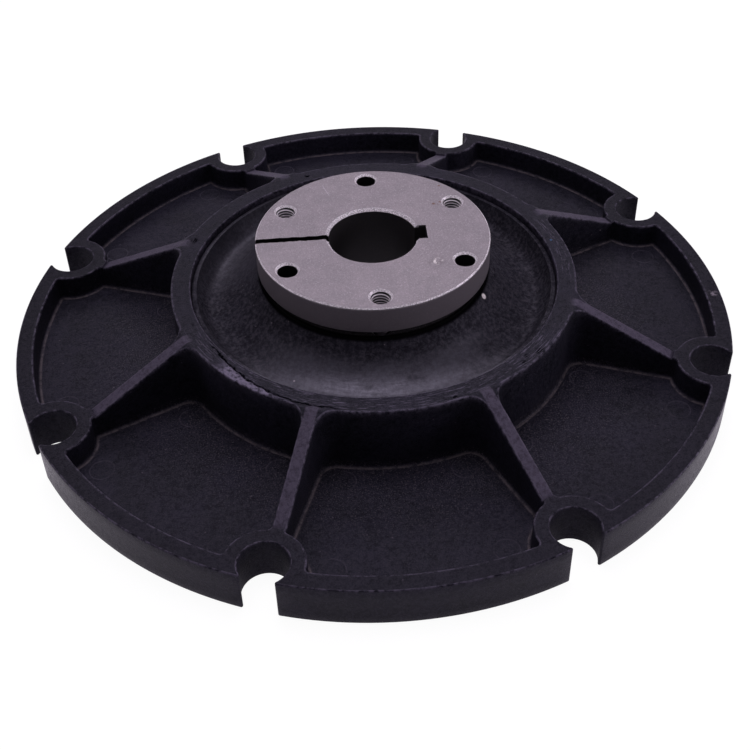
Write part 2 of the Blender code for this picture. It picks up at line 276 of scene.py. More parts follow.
def ripple(share, seed, finest=60):
    """An uneven line between about -1 and 1, a sum of seeded sines, which repeats after a share of 1."""
    rng = np.random.default_rng(seed)
    waves = rng.integers(2, finest, 12)
    phase = rng.uniform(0.0, 2.0 * math.pi, 12)
    size = waves ** -0.5
    swing = np.sin(np.asarray(share)[..., None] * 2.0 * math.pi * waves + phase)
    return (swing * size).sum(-1) / size.sum()


# %% [markdown]
# ## Node helpers for the finishes
# Every finish is built from nodes that read Object coordinates in metres, so grain and marks keep their
# real size from any side. Adding and linking nodes by hand is long-winded, so a few helpers keep it short:
# one starts a material, one fills a socket, and one adds a node and fills its inputs.

# %% Start a finish
def start_finish(name):
    """A new node material; returns it, its tree, its shader and the Object coordinates."""
    mat = bpy.data.materials.new(name)
    mat.use_nodes = True
    tree = mat.node_tree
    place = tree.nodes.new("ShaderNodeTexCoord").outputs["Object"]
    return mat, tree, tree.nodes["Principled BSDF"], place


def put(tree, socket, value):
    """Link a value if it is a socket, or else write it."""
    if isinstance(value, bpy.types.NodeSocket):
        tree.links.new(value, socket)
    else:
        socket.default_value = value


def add(tree, kind, settings=None, **inputs):
    """Add a node, set its options and its inputs, and return it."""
    node = tree.nodes.new(kind)
    for key, value in (settings or {}).items():
        setattr(node, key, value)
    for key, value in inputs.items():
        put(tree, node.inputs[key.replace("_", " ")], value)
    return node


# %% [markdown]
# ## Arithmetic with nodes
# A pattern is worked out like a formula. Each step is one node, and the value that it gives goes into the
# next step, so the formulas below read like plain Python.

# %% Arithmetic
def calc(tree, operation, a, b=0.0, c=0.0):
    """One step of arithmetic."""
    node = tree.nodes.new("ShaderNodeMath")
    node.operation = operation
    for socket, value in zip(node.inputs, (a, b, c)):
        put(tree, socket, value)
    return node.outputs[0]


def chain(tree, operation, values):
    """The values joined from first to last by one kind of step."""
    out = values[0]
    for value in values[1:]:
        out = calc(tree, operation, out, value)
    return out


def product(tree, *values):
    """All values multiplied."""
    return chain(tree, "MULTIPLY", values)


def total(tree, *values):
    """All values added."""
    return chain(tree, "ADD", values)


def highest(tree, *values):
    """The highest of the values."""
    return chain(tree, "MAXIMUM", values)


def hypotenuse(tree, a, b):
    """The square root of the sum of the two squares."""
    return calc(tree, "SQRT", total(tree, product(tree, a, a), product(tree, b, b)))


# %% [markdown]
# ## Soft steps
# Nothing on a real surface starts at a hard line. A fade runs from 0 to 1 between two values, or from 1 to 0
# if the first is the higher one, and a window is a fade up and a fade down.

# %% Soft steps
def fade(tree, value, low, high, out_low=0.0, out_high=1.0):
    """A soft step of value from low to high."""
    node = tree.nodes.new("ShaderNodeMapRange")
    node.interpolation_type = "SMOOTHSTEP"
    put(tree, node.inputs["Value"], value)
    for key, number in (("From Min", low), ("From Max", high), ("To Min", out_low), ("To Max", out_high)):
        put(tree, node.inputs[key], number)
    return node.outputs["Result"]


def window(tree, value, low, high, soft):
    """1 where value lies between low and high, with soft shoulders."""
    rise = fade(tree, value, low - soft, low + soft)
    return product(tree, rise, fade(tree, value, high + soft, high - soft))


def near_line(tree, value, width):
    """1 where value is close to zero, falling to 0 at the width."""
    return fade(tree, calc(tree, "ABSOLUTE", value), width, width * 0.4)


# %% [markdown]
# ## Colours and coats
# A finish is a base colour with coats laid over it, as a painter would do it. Each coat is a share, which is
# a pattern from 0 to 1, and a colour. A relief then tilts the surface, for grain too fine to be mesh.

# %% Colours and coats
def tint(tree, share, first, second):
    """Mix two colours by a share."""
    node = tree.nodes.new("ShaderNodeMix")
    node.data_type = "RGBA"
    for index, value in ((0, share), (6, first), (7, second)):
        put(tree, node.inputs[index], value)
    return node.outputs[2]


def colour(r, g, b):
    """A colour as read off a screen, 0 to 255, in the linear values that nodes use."""
    srgb = np.array([r, g, b]) / 255.0
    line = np.where(srgb <= 0.04045, srgb / 12.92, ((srgb + 0.055) / 1.055) ** 2.4)
    return (*[float(v) for v in line], 1.0)


def coated(tree, base, *coats):
    """Lay coats over a base from first to last; each coat is a share and a screen colour."""
    for share, shade in coats:
        base = tint(tree, share, base, colour(*shade))
    return base


def emboss(tree, shader, relief, strength, depth):
    """Let a relief tilt the surface; depth is in metres."""
    node = add(tree, "ShaderNodeBump", Height=relief, Strength=strength, Distance=depth)
    tree.links.new(node.outputs[0], shader.inputs["Normal"])


# %% [markdown]
# ## Patterns and places
# Marks are placed as a turner would measure them, by radius, angle and height. The angle counts from the x
# axis, and the camera stands near -90. A spot is a soft ball round one place, specks are dots in scattered
# cells, and streaks are noise drawn out round the axis.

# %% Patterns and places
def noise(tree, place, scale, detail=4.0, rough=0.55):
    """Cloudy noise; scale is in waves per metre."""
    node = add(tree, "ShaderNodeTexNoise", Vector=place, Scale=scale, Detail=detail, Roughness=rough)
    return node.outputs["Fac"]


def ragged(tree, place, low, high):
    """The ragged patches in which something wears off or gathers."""
    return fade(tree, noise(tree, place, 420.0, 6.0, 0.7), low, high)


def mark(tree, label):
    """Read a mark stored on the mesh."""
    return add(tree, "ShaderNodeAttribute", {"attribute_name": label}).outputs["Fac"]


def polar(tree, place):
    """Radius in millimetres, angle in degrees from -180 to 180, and height in millimetres."""
    part = add(tree, "ShaderNodeSeparateXYZ", Vector=place)
    x, y = part.outputs["X"], part.outputs["Y"]
    radius = calc(tree, "MULTIPLY", hypotenuse(tree, x, y), 1000.0)
    angle = calc(tree, "DEGREES", calc(tree, "ARCTAN2", y, x))
    return radius, angle, calc(tree, "MULTIPLY", part.outputs["Z"], 1000.0)


def spot(tree, place, radius, degrees, z, size, soft=0.5):
    """1 in a small ball placed by radius, angle and height in millimetres, falling to 0 at its edge."""
    way = add(tree, "ShaderNodeVectorMath", {"operation": "DISTANCE"}, Vector=place)
    x, y = arc((0.0, 0.0), radius, [degrees])[0] * MM
    way.inputs[1].default_value = (x, y, z * MM)
    return fade(tree, way.outputs["Value"], size * MM, size * soft * MM)


def specks(tree, place, scale, share, size):
    """Small dots: cells of which only a share keeps its dot."""
    cells = add(tree, "ShaderNodeTexVoronoi", Vector=place, Scale=scale)
    pick = add(tree, "ShaderNodeSeparateXYZ", Vector=cells.outputs["Color"]).outputs["X"]
    dot = fade(tree, cells.outputs["Distance"], size, size * 0.4)
    return calc(tree, "MULTIPLY", calc(tree, "LESS_THAN", pick, share), dot)


def drawn_out(tree, place, radius, around, across, detail):
    """Noise drawn out round the axis, with so many waves per radian round it and per millimetre across."""
    level = add(tree, "ShaderNodeVectorMath", {"operation": "MULTIPLY"}, Vector=place)
    level.inputs[1].default_value = (1.0, 1.0, 0.0)
    unit = add(tree, "ShaderNodeVectorMath", {"operation": "NORMALIZE"}, Vector=level.outputs[0])
    wide = add(tree, "ShaderNodeVectorMath", {"operation": "SCALE"}, Vector=unit.outputs[0], Scale=around)
    shift = add(tree, "ShaderNodeCombineXYZ", Z=product(tree, radius, across))
    both = add(tree, "ShaderNodeVectorMath", {"operation": "ADD"}, Vector=wide.outputs[0])
    tree.links.new(shift.outputs[0], both.inputs[1])
    return noise(tree, both.outputs[0], 1.0, detail, 0.68)


# %% [markdown]
# ## Marks on top of the ring
# The ring carries its own history. Along the front the moulding's flash line is torn, with fresh light
# material beyond it. A few nicks are cut into it, and streaks run round it, rubbed light at the right. They
# could be cut into the mesh, but they are hair-thin, so the finish and its relief are enough.

# %% Ring marks
RING_TOP = (80.4, 88.4)   # radii between which the marks lie
NICKS = ((85.5, 155.8, 1.8), (84.0, 105.8, 1.1), (87.0, -75.7, 1.1), (84.3, -50.1, 1.2), (86.6, -46.2, 1.8),
         (85.4, -52.6, 1.0))


def torn_flash(tree, place, radius, angle, on_ring):
    """The torn line, which drifts outwards round the front, and the fresh material beyond it."""
    wander = calc(tree, "MULTIPLY_ADD", noise(tree, place, 210.0, 6.0, 0.7), 4.4, -2.2)
    path = calc(tree, "ADD", fade(tree, angle, -156.0, -114.0, 81.4, 87.2), wander)
    beyond = calc(tree, "SUBTRACT", radius, path)
    broken = fade(tree, noise(tree, place, 260.0, 5.0, 0.7), 0.36, 0.5, 0.2, 1.0)
    along = window(tree, angle, -151.0, -106.0, 2.0)
    torn = product(tree, along, on_ring, near_line(tree, beyond, 0.55), broken)
    fresh = product(tree, window(tree, angle, -142.0, -124.0, 2.5), on_ring, fade(tree, beyond, 0.2, 0.7),
                    ragged(tree, place, 0.36, 0.56))
    return torn, fresh


def ring_history(tree, place, radius, angle):
    """How light and how dark the marks make the top of the ring."""
    on_ring = window(tree, radius, *RING_TOP, 0.3)
    streaks = drawn_out(tree, place, radius, 14.0, 2.2, 6.0)
    strong = fade(tree, streaks, 0.54, 0.62)
    torn, fresh = torn_flash(tree, place, radius, angle, on_ring)
    rubbed = product(tree, window(tree, angle, -10.0, 20.0, 5.0), window(tree, radius, 82.6, 86.6, 0.6),
                     strong, 0.45)
    coarse = product(tree, window(tree, angle, -158.0, -36.0, 8.0), on_ring, strong, 0.45)
    dark = [torn, product(tree, fade(tree, streaks, 0.4, 0.3), on_ring, 0.5)]
    for r, degrees, size in NICKS:
        dark.append(product(tree, spot(tree, place, r, degrees, RING_Z, size * 1.3),
                            fade(tree, streaks, 0.52, 0.46)))
    return highest(tree, fresh, rubbed, coarse), highest(tree, *dark)


# %% [markdown]
# ## Marks that repeat in every pocket
# Each pocket floor keeps four faint rings of the mould's ejector pins, and the tops of the ribs are rubbed.
# Both repeat sixteen times, so they are found once, in the angle folded to half a pocket.

# %% Pocket marks
PINS = ((96.5, 14.5), (139.5, 13.5))   # radius, and degrees from the middle of the pocket
PIN_R = 5.0


def folded(tree, angle):
    """The angle folded to half a pocket: 0 in the middle of a pocket and HALF in the middle of a rib."""
    return calc(tree, "PINGPONG", calc(tree, "ADD", angle, 360.0), HALF)


def pin_rings(tree, radius, fold, height):
    """Thin rings on the pocket floors."""
    rings = []
    for r, degrees in PINS:
        out = calc(tree, "SUBTRACT", radius, r)
        side = calc(tree, "MULTIPLY", calc(tree, "SUBTRACT", fold, degrees), math.radians(r))
        rings.append(near_line(tree, calc(tree, "SUBTRACT", hypotenuse(tree, out, side), PIN_R), 0.45))
    return product(tree, highest(tree, *rings), window(tree, height, 6.0, 8.6, 0.4))


def rib_tops(tree, radius, fold, height):
    """1 on top of the ribs, between the ring and the bosses."""
    one_degree = product(tree, radius, math.radians(1.0))
    side = calc(tree, "MULTIPLY", calc(tree, "SUBTRACT", HALF, fold), one_degree)
    return product(tree, fade(tree, side, RIB_HALF, RIB_HALF - 0.7), fade(tree, height, 16.6, 17.4),
                   window(tree, radius, 87.5, 131.8, 2.0))


# %% [markdown]
# ## The flange finish
# The flange is a dark glass-filled polymer. Its moulded skin is dull and leathery, with swirls where the
# melt flowed, and only the outer wall is smoother. The edges are rubbed lighter and carry a painted
# highlight, the floors are sandy near the ring, and a thin brown line of dust lies at the foot of the walls.
# Where edges and corners are is stored on the mesh, because no pattern in space could find them.

# %% Moulded polymer
SHEEN_TINT = (0.87, 0.84, 1.0, 1.0)


def flange_finish():
    """Dark reinforced polymer, rubbed at its edges and dusty in its corners."""
    mat, tree, shader, place = start_finish("flange_polymer")
    radius, angle, height = polar(tree, place)
    fold = folded(tree, angle)
    cloud = noise(tree, place, 42.0, 5.0, 0.6)
    leather = noise(tree, place, 500.0, 8.0, 0.76)
    grain = noise(tree, place, 1700.0, 4.0, 0.7)
    flow = add(tree, "ShaderNodeTexNoise", Vector=place, Scale=120.0, Detail=6.0, Roughness=0.72,
               Distortion=2.4).outputs["Fac"]
    on_top = fade(tree, height, RING_Z - 1.2, RING_Z - 0.3)
    on_floor = window(tree, height, 6.0, 11.0, 0.4)
    rim_top = product(tree, fade(tree, height, RIM_H - 0.5, RIM_H - 0.2), fade(tree, radius, 129.5, 132.5))
    rim_wall = fade(tree, radius, RIM_R - 0.5, RIM_R - 0.2)
    light, dark = ring_history(tree, place, radius, angle)
    pins = product(tree, pin_rings(tree, radius, fold, height), fade(tree, cloud, 0.42, 0.56, 0.25, 1.0))
    sandy = product(tree, fade(tree, grain, 0.55, 0.66), on_floor,
                    fade(tree, radius, 132.0, 98.0, 0.1, 0.65))
    ribs = product(tree, rib_tops(tree, radius, fold, height), fade(tree, leather, 0.36, 0.56, 0.4, 0.8))
    # rubbed edges: partly wear, partly a painted highlight along the rounded edges
    wear_and_edge_glint = product(tree, calc(tree, "POWER", mark(tree, "edge"), 3.0), ragged(tree, place, 0.4, 0.6), 0.5)
    dusty = product(tree, calc(tree, "POWER", mark(tree, "dust"), 5.0),
                    fade(tree, noise(tree, place, 330.0, 6.0, 0.72), 0.38, 0.56, 0.1, 0.7))
    scuff = product(tree, spot(tree, place, 153.6, -5.0, RIM_H, 3.2, 0.2), fade(tree, leather, 0.46, 0.56))
    base = tint(tree, fade(tree, cloud, 0.35, 0.65), colour(22, 22, 29), colour(28, 27, 37))
    base = coated(tree, base,
                  (product(tree, fade(tree, leather, 0.5, 0.64), 0.4), (38, 35, 45)),
                  (product(tree, fade(tree, flow, 0.52, 0.68), 0.3), (36, 34, 42)),
                  (product(tree, fade(tree, leather, 0.48, 0.38), 0.4), (8, 8, 11)),
                  (product(tree, rim_top, 0.45), (11, 10, 15)),
                  (sandy, (92, 86, 90)),
                  (product(tree, pins, 0.35), (70, 66, 76)),
                  (ribs, (76, 70, 84)),
                  (wear_and_edge_glint, (96, 90, 106)),
                  (dusty, (96, 88, 90)),
                  (product(tree, light, on_top, 0.8), (118, 111, 130)),
                  (product(tree, dark, on_top, 0.95), (4, 4, 6)),
                  (product(tree, specks(tree, place, 330.0, 0.08, 0.15), 0.45), (96, 88, 98)),
                  (product(tree, specks(tree, place, 120.0, 0.05, 0.07), 0.8), (130, 120, 128)),
                  (product(tree, scuff, 0.8), (120, 112, 120)),
                  (spot(tree, place, 83.1, 7.8, RING_Z, 0.7), (52, 84, 116)),
                  (spot(tree, place, 122.0, -7.5, FLOOR_AT_RIM, 1.0), (4, 4, 5)))
    put(tree, shader.inputs["Base Color"], base)
    uneven = calc(tree, "MULTIPLY_ADD", grain, 0.5, product(tree, leather, 0.5))
    shine = product(tree, fade(tree, uneven, 0.41, 0.59, 0.07, 0.22),
                    calc(tree, "SUBTRACT", 1.0, product(tree, dark, on_top)))
    shine = calc(tree, "MULTIPLY_ADD", shine, fade(tree, rim_wall, 0.0, 1.0, 1.0, 0.3),
                 product(tree, rim_wall, 0.1))
    put(tree, shader.inputs["Specular IOR Level"], shine)
    shader.inputs["Specular Tint"].default_value = SHEEN_TINT
    put(tree, shader.inputs["Roughness"], total(tree, fade(tree, leather, 0.35, 0.65, 0.42, 0.6),
                                                product(tree, dusty, 0.25), product(tree, rim_wall, -0.26)))
    relief = total(tree, product(tree, grain, 0.35), product(tree, leather, 1.2), product(tree, flow, 0.6),
                   product(tree, pins, 0.8), product(tree, dark, on_top, -1.2))
    emboss(tree, shader, relief, calc(tree, "SUBTRACT", 0.6, product(tree, rim_wall, 0.4)), 0.0004)
    return mat


flange_polymer = flange_finish()
print("flange finish:", len(flange_polymer.node_tree.nodes), "nodes")

# %% [markdown]
# ## Plan of one half sector of the flange
# The moulding repeats sixteen times: eight ribs, each with a left and a right half. One half is drawn in
# the rib's frame, whose x axis runs out along the rib. The pocket outline runs from the ring round the
# fillet, along the rib, round the boss and along the rim. A second line of as many points faces it: inner
# edge of the ring, middle of the rib, notch, lip and rim. The top is the surface between the two.

# %% Outlines in the rib's frame
TOP_ROUND = 0.6            # round of the upper and lower edges
FLOOR_ROUND = 1.2          # round at the foot of the pocket walls
LIP_ROUND = 0.7            # round of the lips where a notch leaves the rim
CORNER = 1.6               # corners of a pocket at rib, boss and rim
RIB_STEP = 0.55            # length of the small rise from rib to boss
ORIGIN = (0.0, 0.0)
NOTCH = (NOTCH_PCR, 0.0)


def two_circles(from_axis, from_notch):
    """The point at given distances from the shaft axis and from the notch centre."""
    x = (from_axis ** 2 - from_notch ** 2 + NOTCH_PCR ** 2) / (2.0 * NOTCH_PCR)
    return np.array([x, math.sqrt(from_axis ** 2 - x ** 2)])


def angle_of(vector):
    """Direction of a plan vector in degrees."""
    return math.degrees(math.atan2(vector[1], vector[0]))


def contour(offset):
    """Notch, rounded lip and rim from the rib's middle to the pocket's middle, moved into the material."""
    lip = two_circles(RIM_R - LIP_ROUND, NOTCH_R + LIP_ROUND)
    mouth = angle_of(lip - NOTCH)
    hole = arc(NOTCH, NOTCH_R + offset, steps(180.0, mouth, 27))
    bend = arc(lip, LIP_ROUND - offset, steps(180.0 + mouth, 360.0 + angle_of(lip), 6))
    rim = arc(ORIGIN, RIM_R - offset, steps(angle_of(lip), HALF, 13))
    return joined(hole, bend, rim)


SPREAD = HALF * np.linspace(0.0, 1.0, len(contour(0.0))) ** 0.64
side_y = RIB_HALF + POCKET_FILLET
reach = RING_OUT + POCKET_FILLET
fillet = np.array([math.sqrt(reach ** 2 - side_y ** 2), side_y])
LEAN = angle_of(fillet)


def fillet_turn(radius):
    """How far round the fillet its point at that radius lies, in degrees from the ring."""
    share = (reach ** 2 + POCKET_FILLET ** 2 - radius ** 2) / (2.0 * reach * POCKET_FILLET)
    return math.degrees(math.acos(share))


def pocket_line():
    """Pocket outline, its direction into the material, the line that faces it, and the top's height."""
    boss_reach = BOSS_R + CORNER
    near = NOTCH_PCR - math.sqrt(boss_reach ** 2 - (RIB_HALF + CORNER) ** 2)
    bend = np.array([near, RIB_HALF + CORNER])
    heel = two_circles(RIM_IN - CORNER, boss_reach)
    inwards = SPREAD[::-1]
    ring = LEAN + (HALF - LEAN) * (inwards[:42] - inwards[41]) / (HALF - inwards[41])
    early, late, last = 14.0, fillet_turn(RING_LAND), fillet_turn(math.hypot(fillet[0], RIB_HALF))
    turns = 180.0 + LEAN + joined(steps(0.0, early, 5), steps(early, late, 5), steps(late, last, 9))
    round_fillet = arc(fillet, POCKET_FILLET, turns)
    run = joined(steps(fillet[0], near - RIB_STEP, 14), steps(near - RIB_STEP, near, 3))
    straight = np.stack([run, np.full(len(run), RIB_HALF)], -1)
    bends = steps(270.0, 180.0 + angle_of(bend - NOTCH), 5)
    bosses = steps(angle_of(bend - NOTCH), angle_of(heel - NOTCH), 17)
    heels = steps(180.0 + angle_of(heel - NOTCH), 360.0 + angle_of(heel), 6)
    rims = steps(angle_of(heel), HALF, 23)
    plan = joined(arc(ORIGIN, RING_OUT, ring), round_fillet, straight, arc(bend, CORNER, bends),
                  arc(NOTCH, BOSS_R, bosses), arc(heel, CORNER, heels), arc(ORIGIN, RIM_IN, rims))
    down = np.full(len(run), 270.0)
    ways = joined(ring + 180.0, turns, down, bends, bosses + 180.0, heels, rims)
    facing_ring = arc(ORIGIN, RING_IN + TOP_ROUND, inwards)
    neck = steps(near, NOTCH_PCR - NOTCH_R - TOP_ROUND, 5)[1:]
    middle = np.concatenate([steps(RING_IN + TOP_ROUND, RING_LAND, 5)[1:], np.hypot(*round_fillet[11:].T),
                             run[1:], neck])
    facing_rib = np.stack([middle, np.zeros(len(middle))], -1)
    facing = np.concatenate([facing_ring, facing_rib, contour(TOP_ROUND)[1:]])
    slope = np.interp(middle, [RING_LAND, near - RIB_STEP, near], [RING_Z, RIB_END_Z, RIM_H])
    rest = len(plan) - len(facing_ring) - len(facing_rib)
    top = np.concatenate([np.full(len(facing_ring), RING_Z), slope, np.full(rest, RIM_H)])
    return plan, arc(ORIGIN, 1.0, ways), facing, top


plan, way, facing, top_z = pocket_line()
print("half sector:", len(plan), "points on the pocket outline,", len(facing), "on the line that faces it")

# %% [markdown]
# ## The flange, row by row
# Rows climb from the middle of the pocket floor to its edge, round the foot of the wall, up the wall, over
# the rounded top edge and across to the facing line. Each row also says how rubbed it is, which also sets a
# painted highlight along the edges, and how dusty it is.

# %% Pocket, wall and top
def corner_rows(count):
    """Sine and cosine of evenly spaced angles from 0 to a right angle."""
    a = np.radians(np.linspace(0.0, 90.0, count + 1))
    return list(zip(np.sin(a), np.cos(a)))


def floor_height(points):
    """The pocket floor falls slightly from ring to rim."""
    return np.interp(np.hypot(points[..., 0], points[..., 1]), [RING_OUT, RIM_IN],
                     [FLOOR_AT_RING, FLOOR_AT_RIM])


def top_rows():
    """Floor, wall and top of one half sector, with the marks of each row."""
    rows, edge, dust = [], [], []
    centre = arc(ORIGIN, (RING_OUT + RIM_IN) / 2.0, [HALF])
    foot = plan - way * FLOOR_ROUND
    for share in (0.0, 0.2, 0.45, 0.66, 0.82, 0.92, 0.97):
        points = centre + (foot - centre) * share
        rows.append(lift(points, floor_height(points)))
        edge.append(0.0)
        dust.append(0.15 if share > 0.95 else 0.0)
    floor = floor_height(plan)
    for across, up in corner_rows(4)[::-1]:
        points = plan - way * FLOOR_ROUND * (1.0 - up)
        rows.append(lift(points, floor + FLOOR_ROUND * (1.0 - across)))
        edge.append(0.0)
        dust.append(0.2 + 0.8 * across)
    for share in (0.12, 0.5, 0.88):
        foot_z = floor + FLOOR_ROUND
        rows.append(lift(plan, foot_z + (top_z - TOP_ROUND - foot_z) * share))
        edge.append(0.0)
        dust.append(0.0)
    for across, up in corner_rows(4):
        rows.append(lift(plan + way * TOP_ROUND * (1.0 - up), top_z - TOP_ROUND * (1.0 - across)))
        edge.append(1.0)
        dust.append(0.0)
    inner = plan + way * TOP_ROUND
    for share in (0.1, 0.3, 0.7, 0.9, 1.0):
        rows.append(lift(inner + (facing - inner) * share, top_z))
        # the band beside the top edge gets a little of the edge mark, for wear and a painted highlight
        edge.append(0.25 if share < 0.2 else 0.0)
        dust.append(0.0)
    return np.stack(rows), edge, dust


# %% [markdown]
# ## The outside and the underside
# A second grid goes down the outer wall and the notch. A third goes in under the flange, up inside the ring
# and over its inner edge, and each shares its border with the one before.

# %% Outer wall and underside
def outer_rows():
    """Outer wall and notch of one half sector, with rounded top and bottom edges."""
    rows = [lift(contour(TOP_ROUND * (1.0 - across)), RIM_H - TOP_ROUND * (1.0 - up))
            for across, up in corner_rows(3)]
    rows += [lift(contour(0.0), z) for z in (14.0, 9.0, 4.0)]
    rows += [lift(contour(TOP_ROUND * (1.0 - across)), TOP_ROUND * (1.0 - up))
             for across, up in corner_rows(3)[::-1]]
    return np.stack(rows), [1.0, 1.0, 1.0, 0.6, 0.0, 0.0, 0.0, 0.8, 1.0, 1.0, 1.0], 0.0


def under_rows():
    """Seat, web, inside of the ring and its inner edge, on columns at equal angles."""
    start, end = contour(TOP_ROUND), arc(ORIGIN, SEAT_R, SPREAD)
    rows = [lift(start + (end - start) * share, 0.0) for share in (0.0, 0.1, 0.4, 0.7, 1.0)]
    profile = [(SEAT_R - 1.5, WEB_Z)]
    profile += [(r, WEB_Z) for r in np.linspace(SEAT_R - 5.0, RING_IN + TOP_ROUND, 8)]
    profile += [(RING_IN + TOP_ROUND * (1.0 - across), WEB_Z + TOP_ROUND * (1.0 - up))
                for across, up in corner_rows(3)[1:]]
    profile += [(RING_IN, z) for z in (9.0, 16.0, 24.0, 31.0)]
    profile += [(RING_IN + TOP_ROUND * (1.0 - up), RING_Z - TOP_ROUND * (1.0 - across))
                for across, up in corner_rows(4)]
    rows += [lift(arc(ORIGIN, r, SPREAD), z) for r, z in profile]
    edge = np.zeros(len(rows))
    edge[-5:] = 1.0
    edge[:1] = 1.0
    return np.stack(rows), edge, 0.0


# %% [markdown]
# ## The whole moulding
# The half sector and its mirror image are turned round the axis eight times. The weld closes the seams
# between them, and it turns all faces outwards, so the mirrored halves need no care.

# %% Build the flange
flange = Skin()
for number in range(NOTCHES):
    for hand in (1.0, -1.0):
        for grid, edge, dust in (top_rows(), outer_rows(), under_rows()):
            flange.grid(turn(grid * [1.0, hand, 1.0], HALF + 2.0 * HALF * number), edge, dust)
outer_flange = flange.build("moulded_flange", flange_polymer)
seat(outer_flange, "outer_flange")

# %% [markdown]
# ## The rubber finish
# Rubber takes its look from what lies on it. It is satin where something has swept it, along the front and
# at the back left, and dull and gritty elsewhere, with grains that gather towards the hub. Under the edge
# of the bush a painted shadow makes it nearly black. A white crumb lies beside the hub.

# %% Rubber finish
def rubber_finish():
    """Satin rubber, dull and gritty where nothing has swept it."""
    mat, tree, shader, place = start_finish("bonded_rubber")
    radius, angle = polar(tree, place)[:2]
    cloud = noise(tree, place, 70.0, 5.0, 0.65)
    mottle = noise(tree, place, 520.0, 7.0, 0.78)
    fine = noise(tree, place, 1500.0, 3.0, 0.6)
    streaks = drawn_out(tree, place, radius, 5.0, 0.9, 6.0)
    front = product(tree, window(tree, angle, -138.0, -52.0, 16.0), fade(tree, radius, 53.0, 59.0))
    back_left = product(tree, window(tree, angle, 112.0, 168.0, 14.0), 0.6)
    swept = product(tree, highest(tree, front, back_left), fade(tree, cloud, 0.28, 0.5, 0.5, 1.0))
    gritty = calc(tree, "SUBTRACT", 1.0, swept)
    # painted shadow under the edge of the bush: nearly black, with its specular turned down there
    painted_bush_shadow = fade(tree, radius, 51.0, 49.9)
    grains = product(tree, specks(tree, place, 430.0, 0.2, 0.16),
                     fade(tree, radius, 68.0, 56.0, 0.15, 1.0), gritty)
    crumb = product(tree, spot(tree, place, 51.3, -31.0, 40.0, 1.6, 0.5), fade(tree, mottle, 0.34, 0.46))
    base = tint(tree, fade(tree, cloud, 0.35, 0.65), colour(24, 23, 29), colour(31, 30, 37))
    base = coated(tree, base,
                  (product(tree, gritty, fade(tree, mottle, 0.5, 0.64), 0.42), (62, 58, 66)),
                  (product(tree, gritty, fade(tree, mottle, 0.47, 0.37), 0.3), (12, 12, 15)),
                  (product(tree, grains, 0.6), (120, 112, 120)),
                  (product(tree, specks(tree, place, 150.0, 0.07, 0.08), 0.8), (140, 132, 134)),
                  (product(tree, painted_bush_shadow, 0.9), (4, 4, 5)),
                  (crumb, (226, 218, 216)))
    put(tree, shader.inputs["Base Color"], base)
    sheen = fade(tree, streaks, 0.3, 0.7, 0.36, 0.5)
    put(tree, shader.inputs["Roughness"], calc(tree, "ADD", sheen, product(tree, gritty, 0.26)))
    shine = calc(tree, "MULTIPLY_ADD", swept, 0.5, fade(tree, mottle, 0.4, 0.6, 0.06, 0.3))
    lit = calc(tree, "SUBTRACT", 1.0, painted_bush_shadow)
    put(tree, shader.inputs["Specular IOR Level"], product(tree, shine, lit))
    shader.inputs["Specular Tint"].default_value = SHEEN_TINT
    relief = total(tree, product(tree, fine, 0.3), product(tree, mottle, calc(tree, "ADD", gritty, 0.2)),
                   product(tree, streaks, 0.5))
    emboss(tree, shader, relief, 0.5, 0.00028)
    return mat


# %% [markdown]
# ## The rubber ring
# The rubber is moulded between ring and hub, so its section is one closed line carried round the axis: a
# thin raised lip beside the ring, a bowl, a long climb to the hub and a hollow underside. Each side of the
# bowl is a power of the way from its lowest line, and a higher power keeps it level for longer.

# %% Rubber ring
RUBBER_OUT = RING_IN - 0.25   # the side bonded to the ring
LAND_Z = RING_Z - 2.9         # level land beside the ring
LAND_WIDE = 2.2
LIP_R = 77.9                  # the thin raised lip
LIP_WIDE = 0.55
BOWL_R = 71.0                 # lowest line of the bowl
BOWL_Z = RING_Z - 10.8
OVER_HUB_R = 49.66            # inner end of the bowl, just over the hub's shoulder
OVER_HUB_Z = HUB_FACE + 0.2


def curve_through(start, hand, end, count):
    """A smooth bend from start to end that leans towards hand."""
    t = np.linspace(0.0, 1.0, count + 1)[:, None]
    return (1 - t) ** 2 * np.array(start) + 2 * t * (1 - t) * np.array(hand) + t ** 2 * np.array(end)


def rubber_profile():
    """The closed section, from the foot by the ring up over the bowl to the hub and back below."""
    outer, brink = RUBBER_OUT, RUBBER_OUT - LAND_WIDE
    radii = np.linspace(brink, OVER_HUB_R, 45)
    to_ring = np.clip((radii - BOWL_R) / (brink - BOWL_R), 0.0, 1.0) ** 2.0
    to_hub = np.clip((BOWL_R - radii) / (BOWL_R - OVER_HUB_R), 0.0, 1.0) ** 1.8
    bowl = np.stack([radii, BOWL_Z + (LAND_Z - BOWL_Z) * to_ring + (OVER_HUB_Z - BOWL_Z) * to_hub], -1)
    wall = np.array([(outer, 6.0), (outer, 15.0), (outer, 25.0), (outer, LAND_Z - 0.4),
                     (outer - 0.4, LAND_Z), (outer - 1.0, LAND_Z)])
    below = joined(np.array([bowl[-1], (50.7, 28.0), (52.1, 14.0)]),
                   curve_through((52.1, 14.0), (60.0, 15.6), (66.0, 14.2), 8),
                   curve_through((66.0, 14.2), (74.0, 12.2), (outer, 6.0), 8))
    return np.concatenate([wall, bowl, below[1:]])


rubber = Skin()
section = rubber_profile()
around = np.linspace(0.0, 360.0, 289)
form = revolve(section, around)
lip = np.exp(-((section[:, 0] - LIP_R) / LIP_WIDE) ** 2)[:, None] * (section[:, 1] > 30.0)[:, None]
form[..., 2] += lip * (0.28 + 0.16 * ripple(around / 360.0, 3))
rubber.grid(form)
rubber_ring = rubber.build("rubber_ring", rubber_finish(), sharp=50.0)
seat(rubber_ring, "rubber_element")
